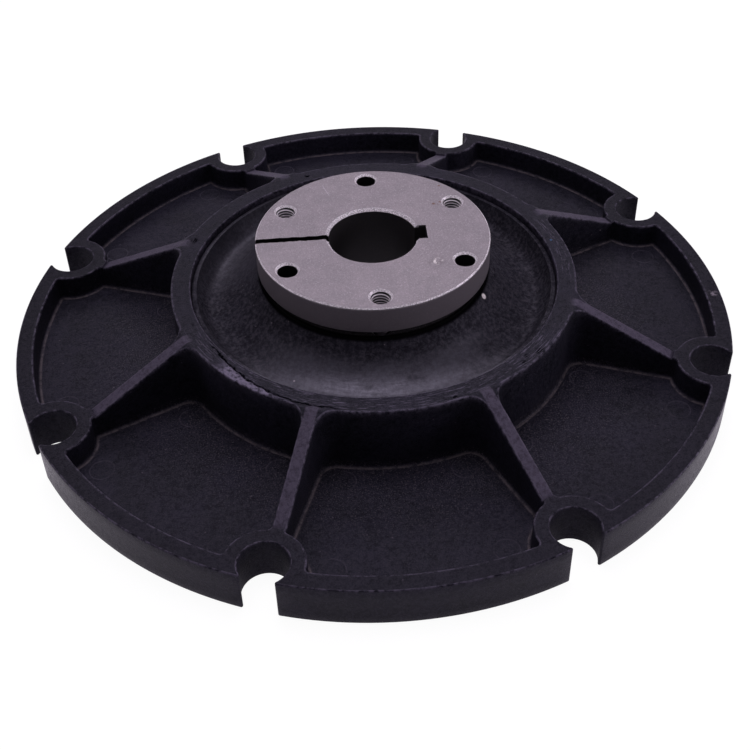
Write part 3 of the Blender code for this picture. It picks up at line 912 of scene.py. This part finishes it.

# %% [markdown]
# ## Where the bush is dark
# Holes, bore, keyway and split get painted shade inside, the side of the bush is painted darker, and the
# crests of the thread get a painted highlight. The finish has to know where these walls are, so their places
# are given here first, and the shapes below are made from the same values.

# %% Painted shade in the recesses of the bush
BUSH_R = 50.35                  # flange of the bush
EDGE_CUT = 0.5                  # chamfer at the outer edge of the face
BORE_CUT = 1.2                  # chamfer at the bore
RECESS_R = 24.0                 # bore and keyway lie inside this radius
HOLE_PCR = 42.7                 # circle of the six holes
TAPPED_AT = (30.0, 150.0, 270.0)
PLAIN_AT = (90.0, 210.0, 330.0)
THREAD_CREST = 3.55             # radius of a tapped hole at its crests
THREAD_ROOT = 4.15              # and at its roots
SLOT_HALF = 1.5                 # half the width of the split
SINK = 0.9                      # countersink of a hole


def shaft_plane(tree, radius, angle, degrees):
    """Distance in millimetres from the plane through the axis at an angle."""
    turned = calc(tree, "RADIANS", calc(tree, "SUBTRACT", angle, degrees))
    return product(tree, radius, calc(tree, "SINE", turned))


def hole_distance(tree, radius, fold):
    """Distance from a hole's axis, where fold is the angle from that hole in degrees."""
    turned = calc(tree, "RADIANS", fold)
    side = product(tree, radius, calc(tree, "SINE", turned))
    out = calc(tree, "SUBTRACT", product(tree, radius, calc(tree, "COSINE", turned)), HOLE_PCR)
    return hypotenuse(tree, side, out)


def below_face(tree, height, start, end):
    """1 deeper under the front face of the bush than end, 0 above start."""
    return fade(tree, height, BUSH_TOP - start, BUSH_TOP - end)


def bush_painted_shade(tree, base, radius, angle, height):
    """Paint shade on side, bore, keyway, split and holes, and a painted highlight on the crests of the
    thread.
    """
    side = product(tree, fade(tree, radius, BUSH_R - 0.65, BUSH_R - 0.25),
                   below_face(tree, height, EDGE_CUT - 0.05, EDGE_CUT + 0.15))
    bore = product(tree, fade(tree, radius, RECESS_R + 0.3, RECESS_R),
                   below_face(tree, height, BORE_CUT, BORE_CUT + 0.4))
    key = product(tree, window(tree, radius, 20.8, RECESS_R + 0.1, 0.15),
                  below_face(tree, height, 0.05, 0.2))
    middle = calc(tree, "ABSOLUTE", shaft_plane(tree, radius, angle, BUSH_TURN))
    slot = product(tree, fade(tree, middle, SLOT_HALF + 0.7, SLOT_HALF + 0.6),
                   fade(tree, radius, BUSH_R - 0.15, BUSH_R - 0.45), below_face(tree, height, 0.02, 0.12))
    fold = calc(tree, "PINGPONG", calc(tree, "ADD", angle, 360.0 - BUSH_TURN - TAPPED_AT[0]), 60.0)
    inside = below_face(tree, height, SINK, SINK + 0.1)
    plain = hole_distance(tree, radius, calc(tree, "SUBTRACT", 60.0, fold))
    tapped = hole_distance(tree, radius, fold)
    # painted shade on the side of the bush and inside bore, keyway, split and plain holes
    base = coated(tree, base,
                  (product(tree, side, 0.7), (96, 90, 96)),
                  (product(tree, highest(tree, bore, key), 0.9), (24, 22, 25)),
                  (slot, (8, 7, 8)),
                  (product(tree, inside, fade(tree, plain, 4.8, 4.7)), (22, 20, 22)))
    # painted highlight on the thread crests and painted shade in the thread roots
    thread = tint(tree, fade(tree, tapped, THREAD_CREST + 0.1, THREAD_ROOT - 0.2),
                  colour(236, 230, 234), colour(14, 13, 14))
    return tint(tree, product(tree, inside, fade(tree, tapped, 4.8, 4.7)), base, thread)


# %% [markdown]
# ## Bare iron
# The bush is turned cast iron left bare: a satin grey with fine turning marks round the axis and dark
# pores, with a painted highlight on its edges and chamfers. Its face has a few rust freckles beside one
# hole, a smear with pale flecks in it, and a scratch. The hub is the same iron, darker and duller, and its
# shoulder is painted black as the shade of the bush.

# %% Iron finishes
RUST = ((38.2, 31.8, 0.9), (35.2, 33.0, 1.1), (36.3, 30.6, 0.5), (39.4, 28.6, 0.5), (47.6, 44.0, 0.7))


def bush_wear(tree, place, radius, angle, level):
    """How rusty the face of the bush is, and the coats of rust, smear, flecks and scratch."""
    uneven = fade(tree, noise(tree, place, 900.0, 5.0, 0.7), 0.42, 0.58)
    freckles = [spot(tree, place, r, degrees, BUSH_TOP, size, 0.3) for r, degrees, size in RUST]
    rust = product(tree, highest(tree, *freckles), level, fade(tree, uneven, 0.0, 0.5, 0.45, 1.0))
    smear = product(tree, window(tree, angle, -50.0, -38.0, 4.0), window(tree, radius, 30.5, 36.0, 1.2),
                    ragged(tree, place, 0.44, 0.58), level)
    flecks = product(tree, window(tree, angle, -46.0, -40.0, 2.0), window(tree, radius, 31.5, 35.0, 0.8),
                     fade(tree, noise(tree, place, 700.0, 5.0, 0.7), 0.49, 0.57), level)
    slant = calc(tree, "MULTIPLY_ADD", radius, 0.25, angle)
    scratch = product(tree, window(tree, slant, 124.6, 124.9, 0.12),
                      window(tree, radius, 36.0, 45.0, 1.0), level)
    return rust, ((product(tree, rust, 0.85), (104, 66, 40)), (product(tree, smear, 0.45), (74, 66, 70)),
                  (product(tree, flecks, 0.8), (226, 220, 216)),
                  (product(tree, scratch, 0.4), (205, 198, 206)))


def iron_finish(name, dark, pale, sheen, on_bush):
    """Turned cast iron; on_bush adds wear and painted shade in recesses, else painted shade on the shoulder.
    """
    mat, tree, shader, place = start_finish(name)
    radius, angle, height = polar(tree, place)
    cloud = noise(tree, place, 110.0, 6.0, 0.65)
    grain = noise(tree, place, 1900.0, 4.0, 0.7)
    pores = specks(tree, place, 1100.0, 0.35, 0.3)
    rings = add(tree, "ShaderNodeTexNoise", {"noise_dimensions": "1D"}, W=product(tree, radius, 1.3),
                Scale=3.0, Detail=4.0, Roughness=0.7).outputs["Fac"]
    # painted highlight on edges and chamfers, laid where the edge mark is
    painted_edge_glint = product(tree, mark(tree, "edge"), fade(tree, grain, 0.42, 0.56, 0.3, 1.0))
    base = coated(tree, tint(tree, fade(tree, cloud, 0.32, 0.68), dark, pale),
                  (product(tree, fade(tree, rings, 0.5, 0.72), 0.18), (176, 168, 178)),
                  (product(tree, pores, 0.4), (52, 48, 52)),
                  (product(tree, fade(tree, grain, 0.52, 0.7), 0.35), (214, 208, 212)),
                  (product(tree, fade(tree, grain, 0.48, 0.32), 0.28), (84, 79, 84)),
                  (product(tree, painted_edge_glint, 0.9), (250, 244, 248)))
    dull = fade(tree, grain, 0.25, 0.75, sheen, sheen + 0.16)
    if on_bush:
        level = fade(tree, height, BUSH_TOP - 0.3, BUSH_TOP - 0.1)
        rust, wear = bush_wear(tree, place, radius, angle, level)
        dull = calc(tree, "ADD", dull, product(tree, rust, 0.3))
        base = bush_painted_shade(tree, coated(tree, base, *wear), radius, angle, height)
    else:
        # painted shade: the shoulder is made nearly black and less shiny, as the shade under the bush
        shoulder = product(tree, fade(tree, radius, 46.5, 48.0),
                           fade(tree, height, HUB_FACE - 6.0, HUB_FACE - 5.0))
        base = coated(tree, base, (shoulder, (6, 6, 7)))
        shine = calc(tree, "SUBTRACT", 0.5, product(tree, shoulder, 0.4))
        put(tree, shader.inputs["Specular IOR Level"], shine)
    put(tree, shader.inputs["Base Color"], base)
    put(tree, shader.inputs["Roughness"], dull)
    shader.inputs["Metallic"].default_value = 0.55
    relief = total(tree, product(tree, grain, 0.7), product(tree, rings, 0.5), product(tree, pores, -1.0))
    emboss(tree, shader, relief, 0.3, 0.00008)
    return mat


bush_iron = iron_finish("bush_iron", colour(120, 114, 118), colour(130, 123, 127), 0.42, True)
hub_iron = iron_finish("hub_iron", colour(50, 48, 50), colour(64, 61, 64), 0.5, False)

# %% [markdown]
# ## Holes with real threads
# Six holes go through the bush flange. Three are tapped: the wall is a helix, so the radius follows a
# saw-tooth of height and angle together, and the thread fades out at the countersinks. The other three are
# plain. The hub carries the same six, with tapped and plain changed over.

# %% Holes
HOLE_SIDES = 48
PITCH = 1.41
hole_angles = np.arange(HOLE_SIDES) * 360.0 / HOLE_SIDES


def hole_centre(degrees):
    """Plan centre of a hole at an angle from the keyway."""
    return arc(ORIGIN, HOLE_PCR, [degrees])[0]


def hole_loop(centre, radius, z):
    """A closed loop of a hole at one height."""
    return lift(arc(centre, radius, hole_angles), z)


def helix_loops(centre, outer, depth, low, high, rows_per_turn=9):
    """Loops up a thread: the radius dips from outer by depth on a slope that winds with the angle."""
    count = int((high - low) / PITCH * rows_per_turn)
    loops = []
    for z in np.linspace(low, high, count + 1):
        phase = np.mod(z / PITCH - hole_angles / 360.0, 1.0)
        tooth = np.clip(1.35 * (1.0 - np.abs(2.0 * phase - 1.0)) - 0.1, 0.0, 1.0)
        ends = max(min(1.0, (z - low) / 0.4, (high - z) / 0.4), 0.0)
        loops.append(lift(arc(centre, outer - depth * tooth * ends, hole_angles), z))
    return loops


def drill(skin, degrees, radius, sink, low, high, tapped):
    """Add a hole's wall and its countersinks; returns its rims on the top and bottom face."""
    centre = hole_centre(degrees)
    top, under = hole_loop(centre, radius + sink, high), hole_loop(centre, radius + sink, low)
    upper, lower = hole_loop(centre, radius, high - sink), hole_loop(centre, radius, low + sink)
    skin.band([top, upper], edge=1.0)
    skin.band([lower, under], edge=0.5)
    if tapped:
        skin.band(helix_loops(centre, radius, THREAD_ROOT - THREAD_CREST, low + sink, high - sink))
    else:
        skin.band([lower, upper])
    return top, under


# %% [markdown]
# ## The split taper bush
# In plan the bush is one closed line: round the outside, in along one face of the split, round the bore and
# keyway, and out along the other face. Walls are bands between such lines at two heights, and level faces
# are filled between lines and hole rims. The split is sawn, so its faces are uneven.

# %% Taper bush
BORE_R = 19.05                  # shaft bore
KEY_HALF = 4.85                 # half the width of the keyway
KEY_TOP = 23.3                  # floor of the keyway, from the axis
BUSH_UNDER = BUSH_TOP - 12.9    # underside of that flange
TAPER_R = 36.5                  # barrel where it meets the flange
TAPER_SLOPE = 0.03125           # radius lost per length of barrel
CHAMFER = 0.9                   # hidden edges of bush and hub
PLAIN_R = 4.3                   # plain hole
UNEVEN = 0.45                   # how far the saw strayed


def taper(z):
    """Radius of the tapered barrel at a height."""
    return TAPER_R - (BUSH_UNDER - z) * TAPER_SLOPE


def split_face(radii, hand):
    """Points of a face of the split at given radii; the saw left it uneven."""
    strayed = UNEVEN * ripple(radii / 60.0, 11 if hand > 0 else 12)
    gap = np.degrees(np.arcsin((SLOT_HALF + strayed) / radii))
    return arc(ORIGIN, radii, hand * (180.0 - gap))


def outer_arc(radius):
    """The outside from one face of the split round to the other."""
    start, end = split_face(np.array([radius]), -1)[0], split_face(np.array([radius]), 1)[0]
    return arc(ORIGIN, radius, steps(angle_of(start), angle_of(end), 240))


def inner_line(radius):
    """The bore with its keyway, from the upper face of the split back to the lower one."""
    start = angle_of(split_face(np.array([radius]), 1)[0])
    end = angle_of(split_face(np.array([radius]), -1)[0])
    key = math.degrees(math.asin(KEY_HALF / radius))
    near = radius * math.cos(math.radians(key))
    up = np.stack([steps(near, KEY_TOP, 4), np.full(5, KEY_HALF)], -1)
    across = np.stack([np.full(7, KEY_TOP), steps(KEY_HALF, -KEY_HALF, 6)], -1)
    return joined(arc(ORIGIN, radius, steps(start, key, 72)), up, across, up[::-1] * [1.0, -1.0],
                  arc(ORIGIN, radius, steps(-key, end, 72)))


def bush_line(outer, inner, waist=None):
    """The whole closed line; waist is the radius on the split's faces where flange and barrel meet."""
    stops = [steps(waist or outer, inner, 24)]
    if waist:
        stops.insert(0, steps(outer, waist, 20))
    radii = joined(*stops)
    upper, lower = split_face(radii, 1), split_face(radii, -1)[::-1]
    return joined(outer_arc(outer), upper, inner_line(inner), lower)[:-1]


# %% [markdown]
# ## Closing the bush
# The front face, the underside of the flange and the end of the barrel are level faces with holes in them.
# Between them go bands of walls. The barrel starts on the same points of the split as the flange, so the
# weld closes it.

# %% Build the bush
def build_bush():
    """Flange, barrel, bore, keyway, split and holes of the bush."""
    skin = Skin()
    rims = [drill(skin, a, THREAD_ROOT, SINK, BUSH_UNDER, BUSH_TOP, True) for a in TAPPED_AT]
    rims += [drill(skin, a, PLAIN_R, SINK, BUSH_UNDER, BUSH_TOP, False) for a in PLAIN_AT]
    edge_r = BUSH_R - CHAMFER
    cuts = [(BUSH_R - EDGE_CUT, BORE_R + BORE_CUT, BUSH_TOP),
            (BUSH_R, BORE_R + BORE_CUT - EDGE_CUT, BUSH_TOP - EDGE_CUT),
            (BUSH_R, BORE_R, BUSH_TOP - BORE_CUT)]
    lines = [lift(bush_line(r, inner, TAPER_R), z) for r, inner, z in cuts]
    skin.flat([lines[0]] + [rim[0] for rim in rims])
    skin.band(lines[:2], edge=1.0)
    skin.band(lines[1:], edge=[1.0, 0.8])
    levels = steps(BUSH_TOP - BORE_CUT, BUSH_UNDER + CHAMFER, 5)
    skin.band([lift(bush_line(BUSH_R, BORE_R, TAPER_R), z) for z in levels])
    skin.band([lift(bush_line(BUSH_R, BORE_R, TAPER_R), levels[-1]),
               lift(bush_line(edge_r, BORE_R, TAPER_R), BUSH_UNDER)])
    radii = steps(edge_r, TAPER_R, 20)
    under = joined(outer_arc(edge_r), split_face(radii, 1), outer_arc(TAPER_R)[::-1],
                   split_face(radii, -1)[::-1])[:-1]
    skin.flat([lift(under, BUSH_UNDER)] + [rim[1] for rim in rims])
    levels = steps(BUSH_UNDER, BUSH_END + CHAMFER, 10)
    skin.band([lift(bush_line(taper(z), BORE_R), z) for z in levels])
    end = lift(bush_line(taper(BUSH_END) - CHAMFER, BORE_R + CHAMFER), BUSH_END)
    skin.band([lift(bush_line(taper(levels[-1]), BORE_R), levels[-1]), end], edge=0.5)
    skin.flat([end])
    skin.points = [turn(points, BUSH_TURN) for points in skin.points]
    return skin.build("split_taper_bush", bush_iron)


taper_bush = build_bush()
seat(taper_bush, "taper_bush")

# %% [markdown]
# ## The hub
# The hub is a turned iron ring with a slightly conical outside and a tapered bore that fits the bush.
# Only its front shoulder shows, in the shade under the bush, but from behind all of it is open to view.

# %% Hub
HUB_R_FACE = 49.3       # outside at the front face
HUB_FLARE = 2.7         # radius gained towards the back
HUB_SINK = 0.4          # edges of its holes
TAPER_GAP = 0.25        # space between its bore and the barrel
BORE_EDGE = 0.6         # edges of its bore


def build_hub():
    """Outside, tapered bore, both faces and six holes."""
    skin = Skin()
    rims = [drill(skin, a, PLAIN_R, HUB_SINK, HUB_BACK, HUB_FACE, False) for a in TAPPED_AT]
    rims += [drill(skin, a, THREAD_ROOT, HUB_SINK, HUB_BACK, HUB_FACE, True) for a in PLAIN_AT]
    around = np.arange(240) * 1.5
    flare = HUB_R_FACE + HUB_FLARE
    back_r, face_r = taper(HUB_BACK) + TAPER_GAP, taper(HUB_FACE) + TAPER_GAP
    outside_rows = [(HUB_R_FACE - CHAMFER, HUB_FACE), (HUB_R_FACE, HUB_FACE - CHAMFER),
                    (flare, HUB_BACK + CHAMFER), (flare - CHAMFER, HUB_BACK)]
    bore_rows = [(back_r + BORE_EDGE, HUB_BACK), (back_r, HUB_BACK + BORE_EDGE),
                 (face_r, HUB_FACE - BORE_EDGE), (face_r + BORE_EDGE, HUB_FACE)]
    outer = [lift(arc(ORIGIN, r, around), z) for r, z in outside_rows]
    bore = [lift(arc(ORIGIN, r, around), z) for r, z in bore_rows]
    for loops in (outer, bore):
        skin.band(loops[:2], edge=0.5)
        skin.band(loops[1:3])
        skin.band(loops[2:], edge=0.5)
    skin.flat([outer[0], bore[-1]] + [rim[0] for rim in rims])
    skin.flat([outer[-1], bore[0]] + [rim[1] for rim in rims])
    skin.points = [turn(points, BUSH_TURN) for points in skin.points]
    return skin.build("hub_ring", hub_iron)


inner_hub = build_hub()
seat(inner_hub, "inner_hub")

# %% [markdown]
# ## Plain steel
# Screws and washers are plain steel with a trace of oil, so they are the most metallic pieces. Their edges
# are a little brighter from handling.

# %% Steel finish
def steel_finish(name, low, high):
    """Plain oily steel with handling marks."""
    mat, tree, shader, place = start_finish(name)
    cloud = noise(tree, place, 240.0, 6.0, 0.65)
    fine = noise(tree, place, 1600.0, 4.0, 0.7)
    base = tint(tree, fade(tree, cloud, 0.35, 0.65), low, high)
    base = tint(tree, product(tree, fade(tree, fine, 0.6, 0.75), 0.4), base, colour(150, 144, 150))
    base = tint(tree, product(tree, mark(tree, "edge"), 0.5), base, colour(160, 154, 160))
    put(tree, shader.inputs["Base Color"], base)
    put(tree, shader.inputs["Roughness"], fade(tree, cloud, 0.3, 0.7, 0.3, 0.46))
    shader.inputs["Metallic"].default_value = 0.9
    emboss(tree, shader, fine, 0.25, 0.00006)
    return mat


screw_steel = steel_finish("screw_steel", colour(84, 80, 84), colour(104, 99, 104))
washer_steel = steel_finish("washer_steel", colour(78, 75, 80), colour(96, 92, 97))

# %% [markdown]
# ## Screws and lock washers
# Three hexagon screws come in from the flywheel side and pull the bush into the hub. The hexagon's corners
# are cut by a cone, so the edge of its face is a row of shallow curves. Each washer is a spring ring, cut
# once and risen by part of its thickness over one turn.

# %% Screws and washers
WASHER_TOP = HUB_BACK - 0.25
WASHER_FOOT = WASHER_TOP - 1.9
WASHER_RISE = 0.2               # how far one end of the cut stands over the other
HEAD_TOP = WASHER_FOOT - 0.25
HEAD_LOW = HEAD_TOP - 5.3
HEAD_HALF = 6.35                # half the hexagon across its flats
SHANK_R = 3.8
SCREW_R = 3.4                   # screw over its thread
SCREW_DEPTH = 0.55              # depth of that thread
TIP = BUSH_UNDER + 7.0          # end of the screw
TIP_CUT = 0.8                   # chamfer there
NECK = HUB_FACE - 5.5           # start of the thread


def screw_skin():
    """Head, shank and threaded end of a screw that stands on the axis."""
    skin = Skin()
    off = np.mod(hole_angles + 30.0, 60.0) - 30.0
    hexagon = HEAD_HALF / np.cos(np.radians(off))
    cone = 0.94 * HEAD_HALF
    face = hole_loop(ORIGIN, cone, HEAD_LOW)
    low = hole_loop(ORIGIN, hexagon, HEAD_LOW + (hexagon - cone) * math.tan(math.radians(30.0)))
    high = hole_loop(ORIGIN, hexagon, HEAD_TOP)
    skin.flat([face])
    skin.band([face, low], edge=0.6)
    skin.band([low, high])
    foot = hole_loop(ORIGIN, SHANK_R, HEAD_TOP)
    skin.flat([high, foot])
    neck = hole_loop(ORIGIN, SCREW_R, NECK)
    skin.band([foot, hole_loop(ORIGIN, SHANK_R, NECK - 0.4), neck])
    skin.band(helix_loops(ORIGIN, SCREW_R, SCREW_DEPTH, NECK, TIP - TIP_CUT, 8))
    tip = hole_loop(ORIGIN, SCREW_R - TIP_CUT, TIP)
    skin.band([hole_loop(ORIGIN, SCREW_R, TIP - TIP_CUT), tip], edge=0.6)
    skin.flat([tip])
    return skin


def washer_skin():
    """A spring ring of square section, cut once."""
    skin = Skin()
    angles = np.linspace(4.0, 356.0, 73)
    section = [(4.1, 0.0), (7.1, 0.0), (7.2, 0.1), (7.2, 1.6),
               (7.1, 1.7), (4.1, 1.7), (4.0, 1.6), (4.0, 0.1)]
    ring = revolve(np.array(section + section[:1]), angles)
    ring[..., 2] += WASHER_FOOT + WASHER_RISE * (angles - angles[0]) / (angles[-1] - angles[0])
    skin.grid(ring, edge=0.2)
    for column in (0, -1):
        skin.grid(np.stack([ring[[0, 1, 2, 3, 4], column], ring[[8, 7, 6, 5, 4], column]]))
    return skin


for number, degrees in enumerate(TAPPED_AT, start=1):
    stand = [*hole_centre(degrees + BUSH_TURN), 0.0]
    screw, washer = screw_skin(), washer_skin()
    for skin in (screw, washer):
        skin.points = [turn(points, 40.0 * number) + stand for points in skin.points]
    seat(screw.build("hex_screw_%d" % number, screw_steel), "hub_screw_%d" % number)
    seat(washer.build("spring_washer_%d" % number, washer_steel), "lock_washer_%d" % number)

# %% [markdown]
# ## The floor
# The picture has a plain white ground. A white floor would flood the dark part with light, so the floor
# glows in full for the camera only. Reflections see a weaker glow, and all other rays see pale paper, of
# which a little is kept for the camera too, to hold the shadow.

# %% Floor
TONE = (0.95, 0.875, 1.0)   # the faintly violet light of the picture
WHITE = (1.0, 1.0, 1.0, 1.0)
PAPER = (0.8, 0.8, 0.8, 1.0)
FLOOR_REACH = 2.5
FLOOR_GLOW = 1.09
GLOW_SHARE = 0.86           # the rest is the paper with its shadow
MIRRORED = 0.4              # share of the glow that reflections see


def white_floor():
    """White to the camera, with a little of the real shade kept for the shadow."""
    mat = bpy.data.materials.new("floor_white")
    mat.use_nodes = True
    tree = mat.node_tree
    tree.nodes.clear()
    path = tree.nodes.new("ShaderNodeLightPath")
    direct = path.outputs["Is Camera Ray"]
    bounced = highest(tree, path.outputs["Is Glossy Ray"], path.outputs["Is Transmission Ray"])
    seen = highest(tree, direct, product(tree, bounced, MIRRORED))
    paper = add(tree, "ShaderNodeBsdfDiffuse", Color=PAPER)
    white = tint(tree, direct, (*TONE, 1.0), WHITE)
    glow = add(tree, "ShaderNodeEmission", Color=white, Strength=FLOOR_GLOW)
    both = tree.nodes.new("ShaderNodeMixShader")
    put(tree, both.inputs[0], product(tree, seen, GLOW_SHARE))
    tree.links.new(paper.outputs[0], both.inputs[1])
    tree.links.new(glow.outputs[0], both.inputs[2])
    out = tree.nodes.new("ShaderNodeOutputMaterial")
    tree.links.new(both.outputs[0], out.inputs["Surface"])
    return mat


floor_mesh = bpy.data.meshes.new("floor")
corners = [(-FLOOR_REACH, -FLOOR_REACH, 0.0), (FLOOR_REACH, -FLOOR_REACH, 0.0),
           (FLOOR_REACH, FLOOR_REACH, 0.0), (-FLOOR_REACH, FLOOR_REACH, 0.0)]
floor_mesh.from_pydata(corners, [], [(0, 1, 2, 3)])
floor_mesh.materials.append(white_floor())
floor = bpy.data.objects.new("floor", floor_mesh)
bpy.context.collection.objects.link(floor)
floor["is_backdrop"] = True

# %% [markdown]
# ## The world
# Behind the floor the world is white to the camera too, and dim to everything else.

# %% World
def white_world(strength):
    """White to the camera, and of that strength to everything else."""
    world = bpy.data.worlds.new("studio")
    bpy.context.scene.world = world
    world.use_nodes = True
    tree = world.node_tree
    direct = tree.nodes.new("ShaderNodeLightPath").outputs["Is Camera Ray"]
    ground = tree.nodes["Background"]
    put(tree, ground.inputs["Color"], tint(tree, direct, (*TONE, 1.0), WHITE))
    put(tree, ground.inputs["Strength"], fade(tree, direct, 0.0, 1.0, strength, 1.0))


white_world(0.17)

# %% [markdown]
# ## The camera
# The view was found by fitting the rim, the notches and the bush to their outlines in the picture. It is
# given as the camera's turn round the axis, its lift above the floor, its roll, and its distance from the
# origin, with small steps to the side. A fairly long lens half a metre away keeps its perspective.

# %% Camera
VIEW_TURN = -7.23      # degrees round the axis
VIEW_LIFT = 39.678     # degrees above the floor
VIEW_ROLL = -0.827     # degrees
VIEW_FAR = 544.53      # millimetres from the origin
AIM_RIGHT = 8.277      # millimetres to the camera's right
AIM_UP = 9.122         # millimetres up in the picture
LENS = 56.85
SENSOR = 36.0
SHIFT_RIGHT = -0.02437
SHIFT_UP = -0.07695

studio_spin = Matrix.Rotation(math.radians(VIEW_TURN), 3, "Z")
rise = math.radians(VIEW_LIFT)
right = studio_spin @ Vector((1.0, 0.0, 0.0))
up = studio_spin @ Vector((0.0, math.sin(rise), math.cos(rise)))
back = studio_spin @ Vector((0.0, -math.cos(rise), math.sin(rise)))
camera_data = bpy.data.cameras.new("camera")
camera_data.lens = LENS
camera_data.sensor_width = SENSOR
camera_data.shift_x = SHIFT_RIGHT
camera_data.shift_y = SHIFT_UP
camera = bpy.data.objects.new("camera", camera_data)
bpy.context.collection.objects.link(camera)
roll = math.radians(VIEW_ROLL)
rolled_right = right * math.cos(roll) + up * math.sin(roll)
rolled_up = up * math.cos(roll) - right * math.sin(roll)
turned = Matrix((rolled_right, rolled_up, back)).transposed().to_4x4()
eye = (back * VIEW_FAR + right * AIM_RIGHT + up * AIM_UP) * MM
camera.matrix_world = Matrix.Translation(eye) @ turned
bpy.context.scene.camera = camera
print("camera at", ["%.3f" % value for value in eye])

# %% [markdown]
# ## The light
# Four soft panels light the part: a wide one above, one behind that the level faces mirror, and one low at
# each side for the walls. The right one is the stronger, as the bright wall of the rim shows.

# %% Light
AIM_AT = Vector((0.0, 0.0, 0.03))


def panel(name, across, height, away, wide, tall, power):
    """A soft light that faces the part; across and away are metres to the right and behind it."""
    light = bpy.data.lights.new(name, "AREA")
    light.shape = "RECTANGLE"
    light.size = wide
    light.size_y = tall
    light.energy = power
    light.color = TONE
    lamp = bpy.data.objects.new(name, light)
    bpy.context.collection.objects.link(lamp)
    lamp.location = studio_spin @ Vector((across, away, height))
    aim = AIM_AT - lamp.location
    lamp.rotation_euler = aim.to_track_quat("-Z", "Y").to_euler()


panel("panel_above", across=0.0, height=1.1, away=0.1, wide=0.8, tall=0.7, power=6.6)
panel("panel_behind", across=0.0, height=0.8, away=0.85, wide=1.2, tall=0.5, power=4.2)
panel("panel_right", across=1.0, height=0.28, away=-0.1, wide=0.7, tall=0.4, power=3.4)
panel("panel_left", across=-1.0, height=0.4, away=0.0, wide=0.7, tall=0.5, power=0.9)
bpy.context.scene.view_settings.view_transform = "Standard"

# %% [markdown]
# ## Last checks
# The box of the visible pieces is measured and printed beside the box of the solids, which it should match.

# %% Measure and finish
seen_low, seen_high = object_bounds()
sizes = {"cad_low": list(cad_low), "cad_high": list(cad_high),
         "seen_low": list(seen_low), "seen_high": list(seen_high)}
for label, values in sizes.items():
    print(label, ["%.4f" % value for value in values])
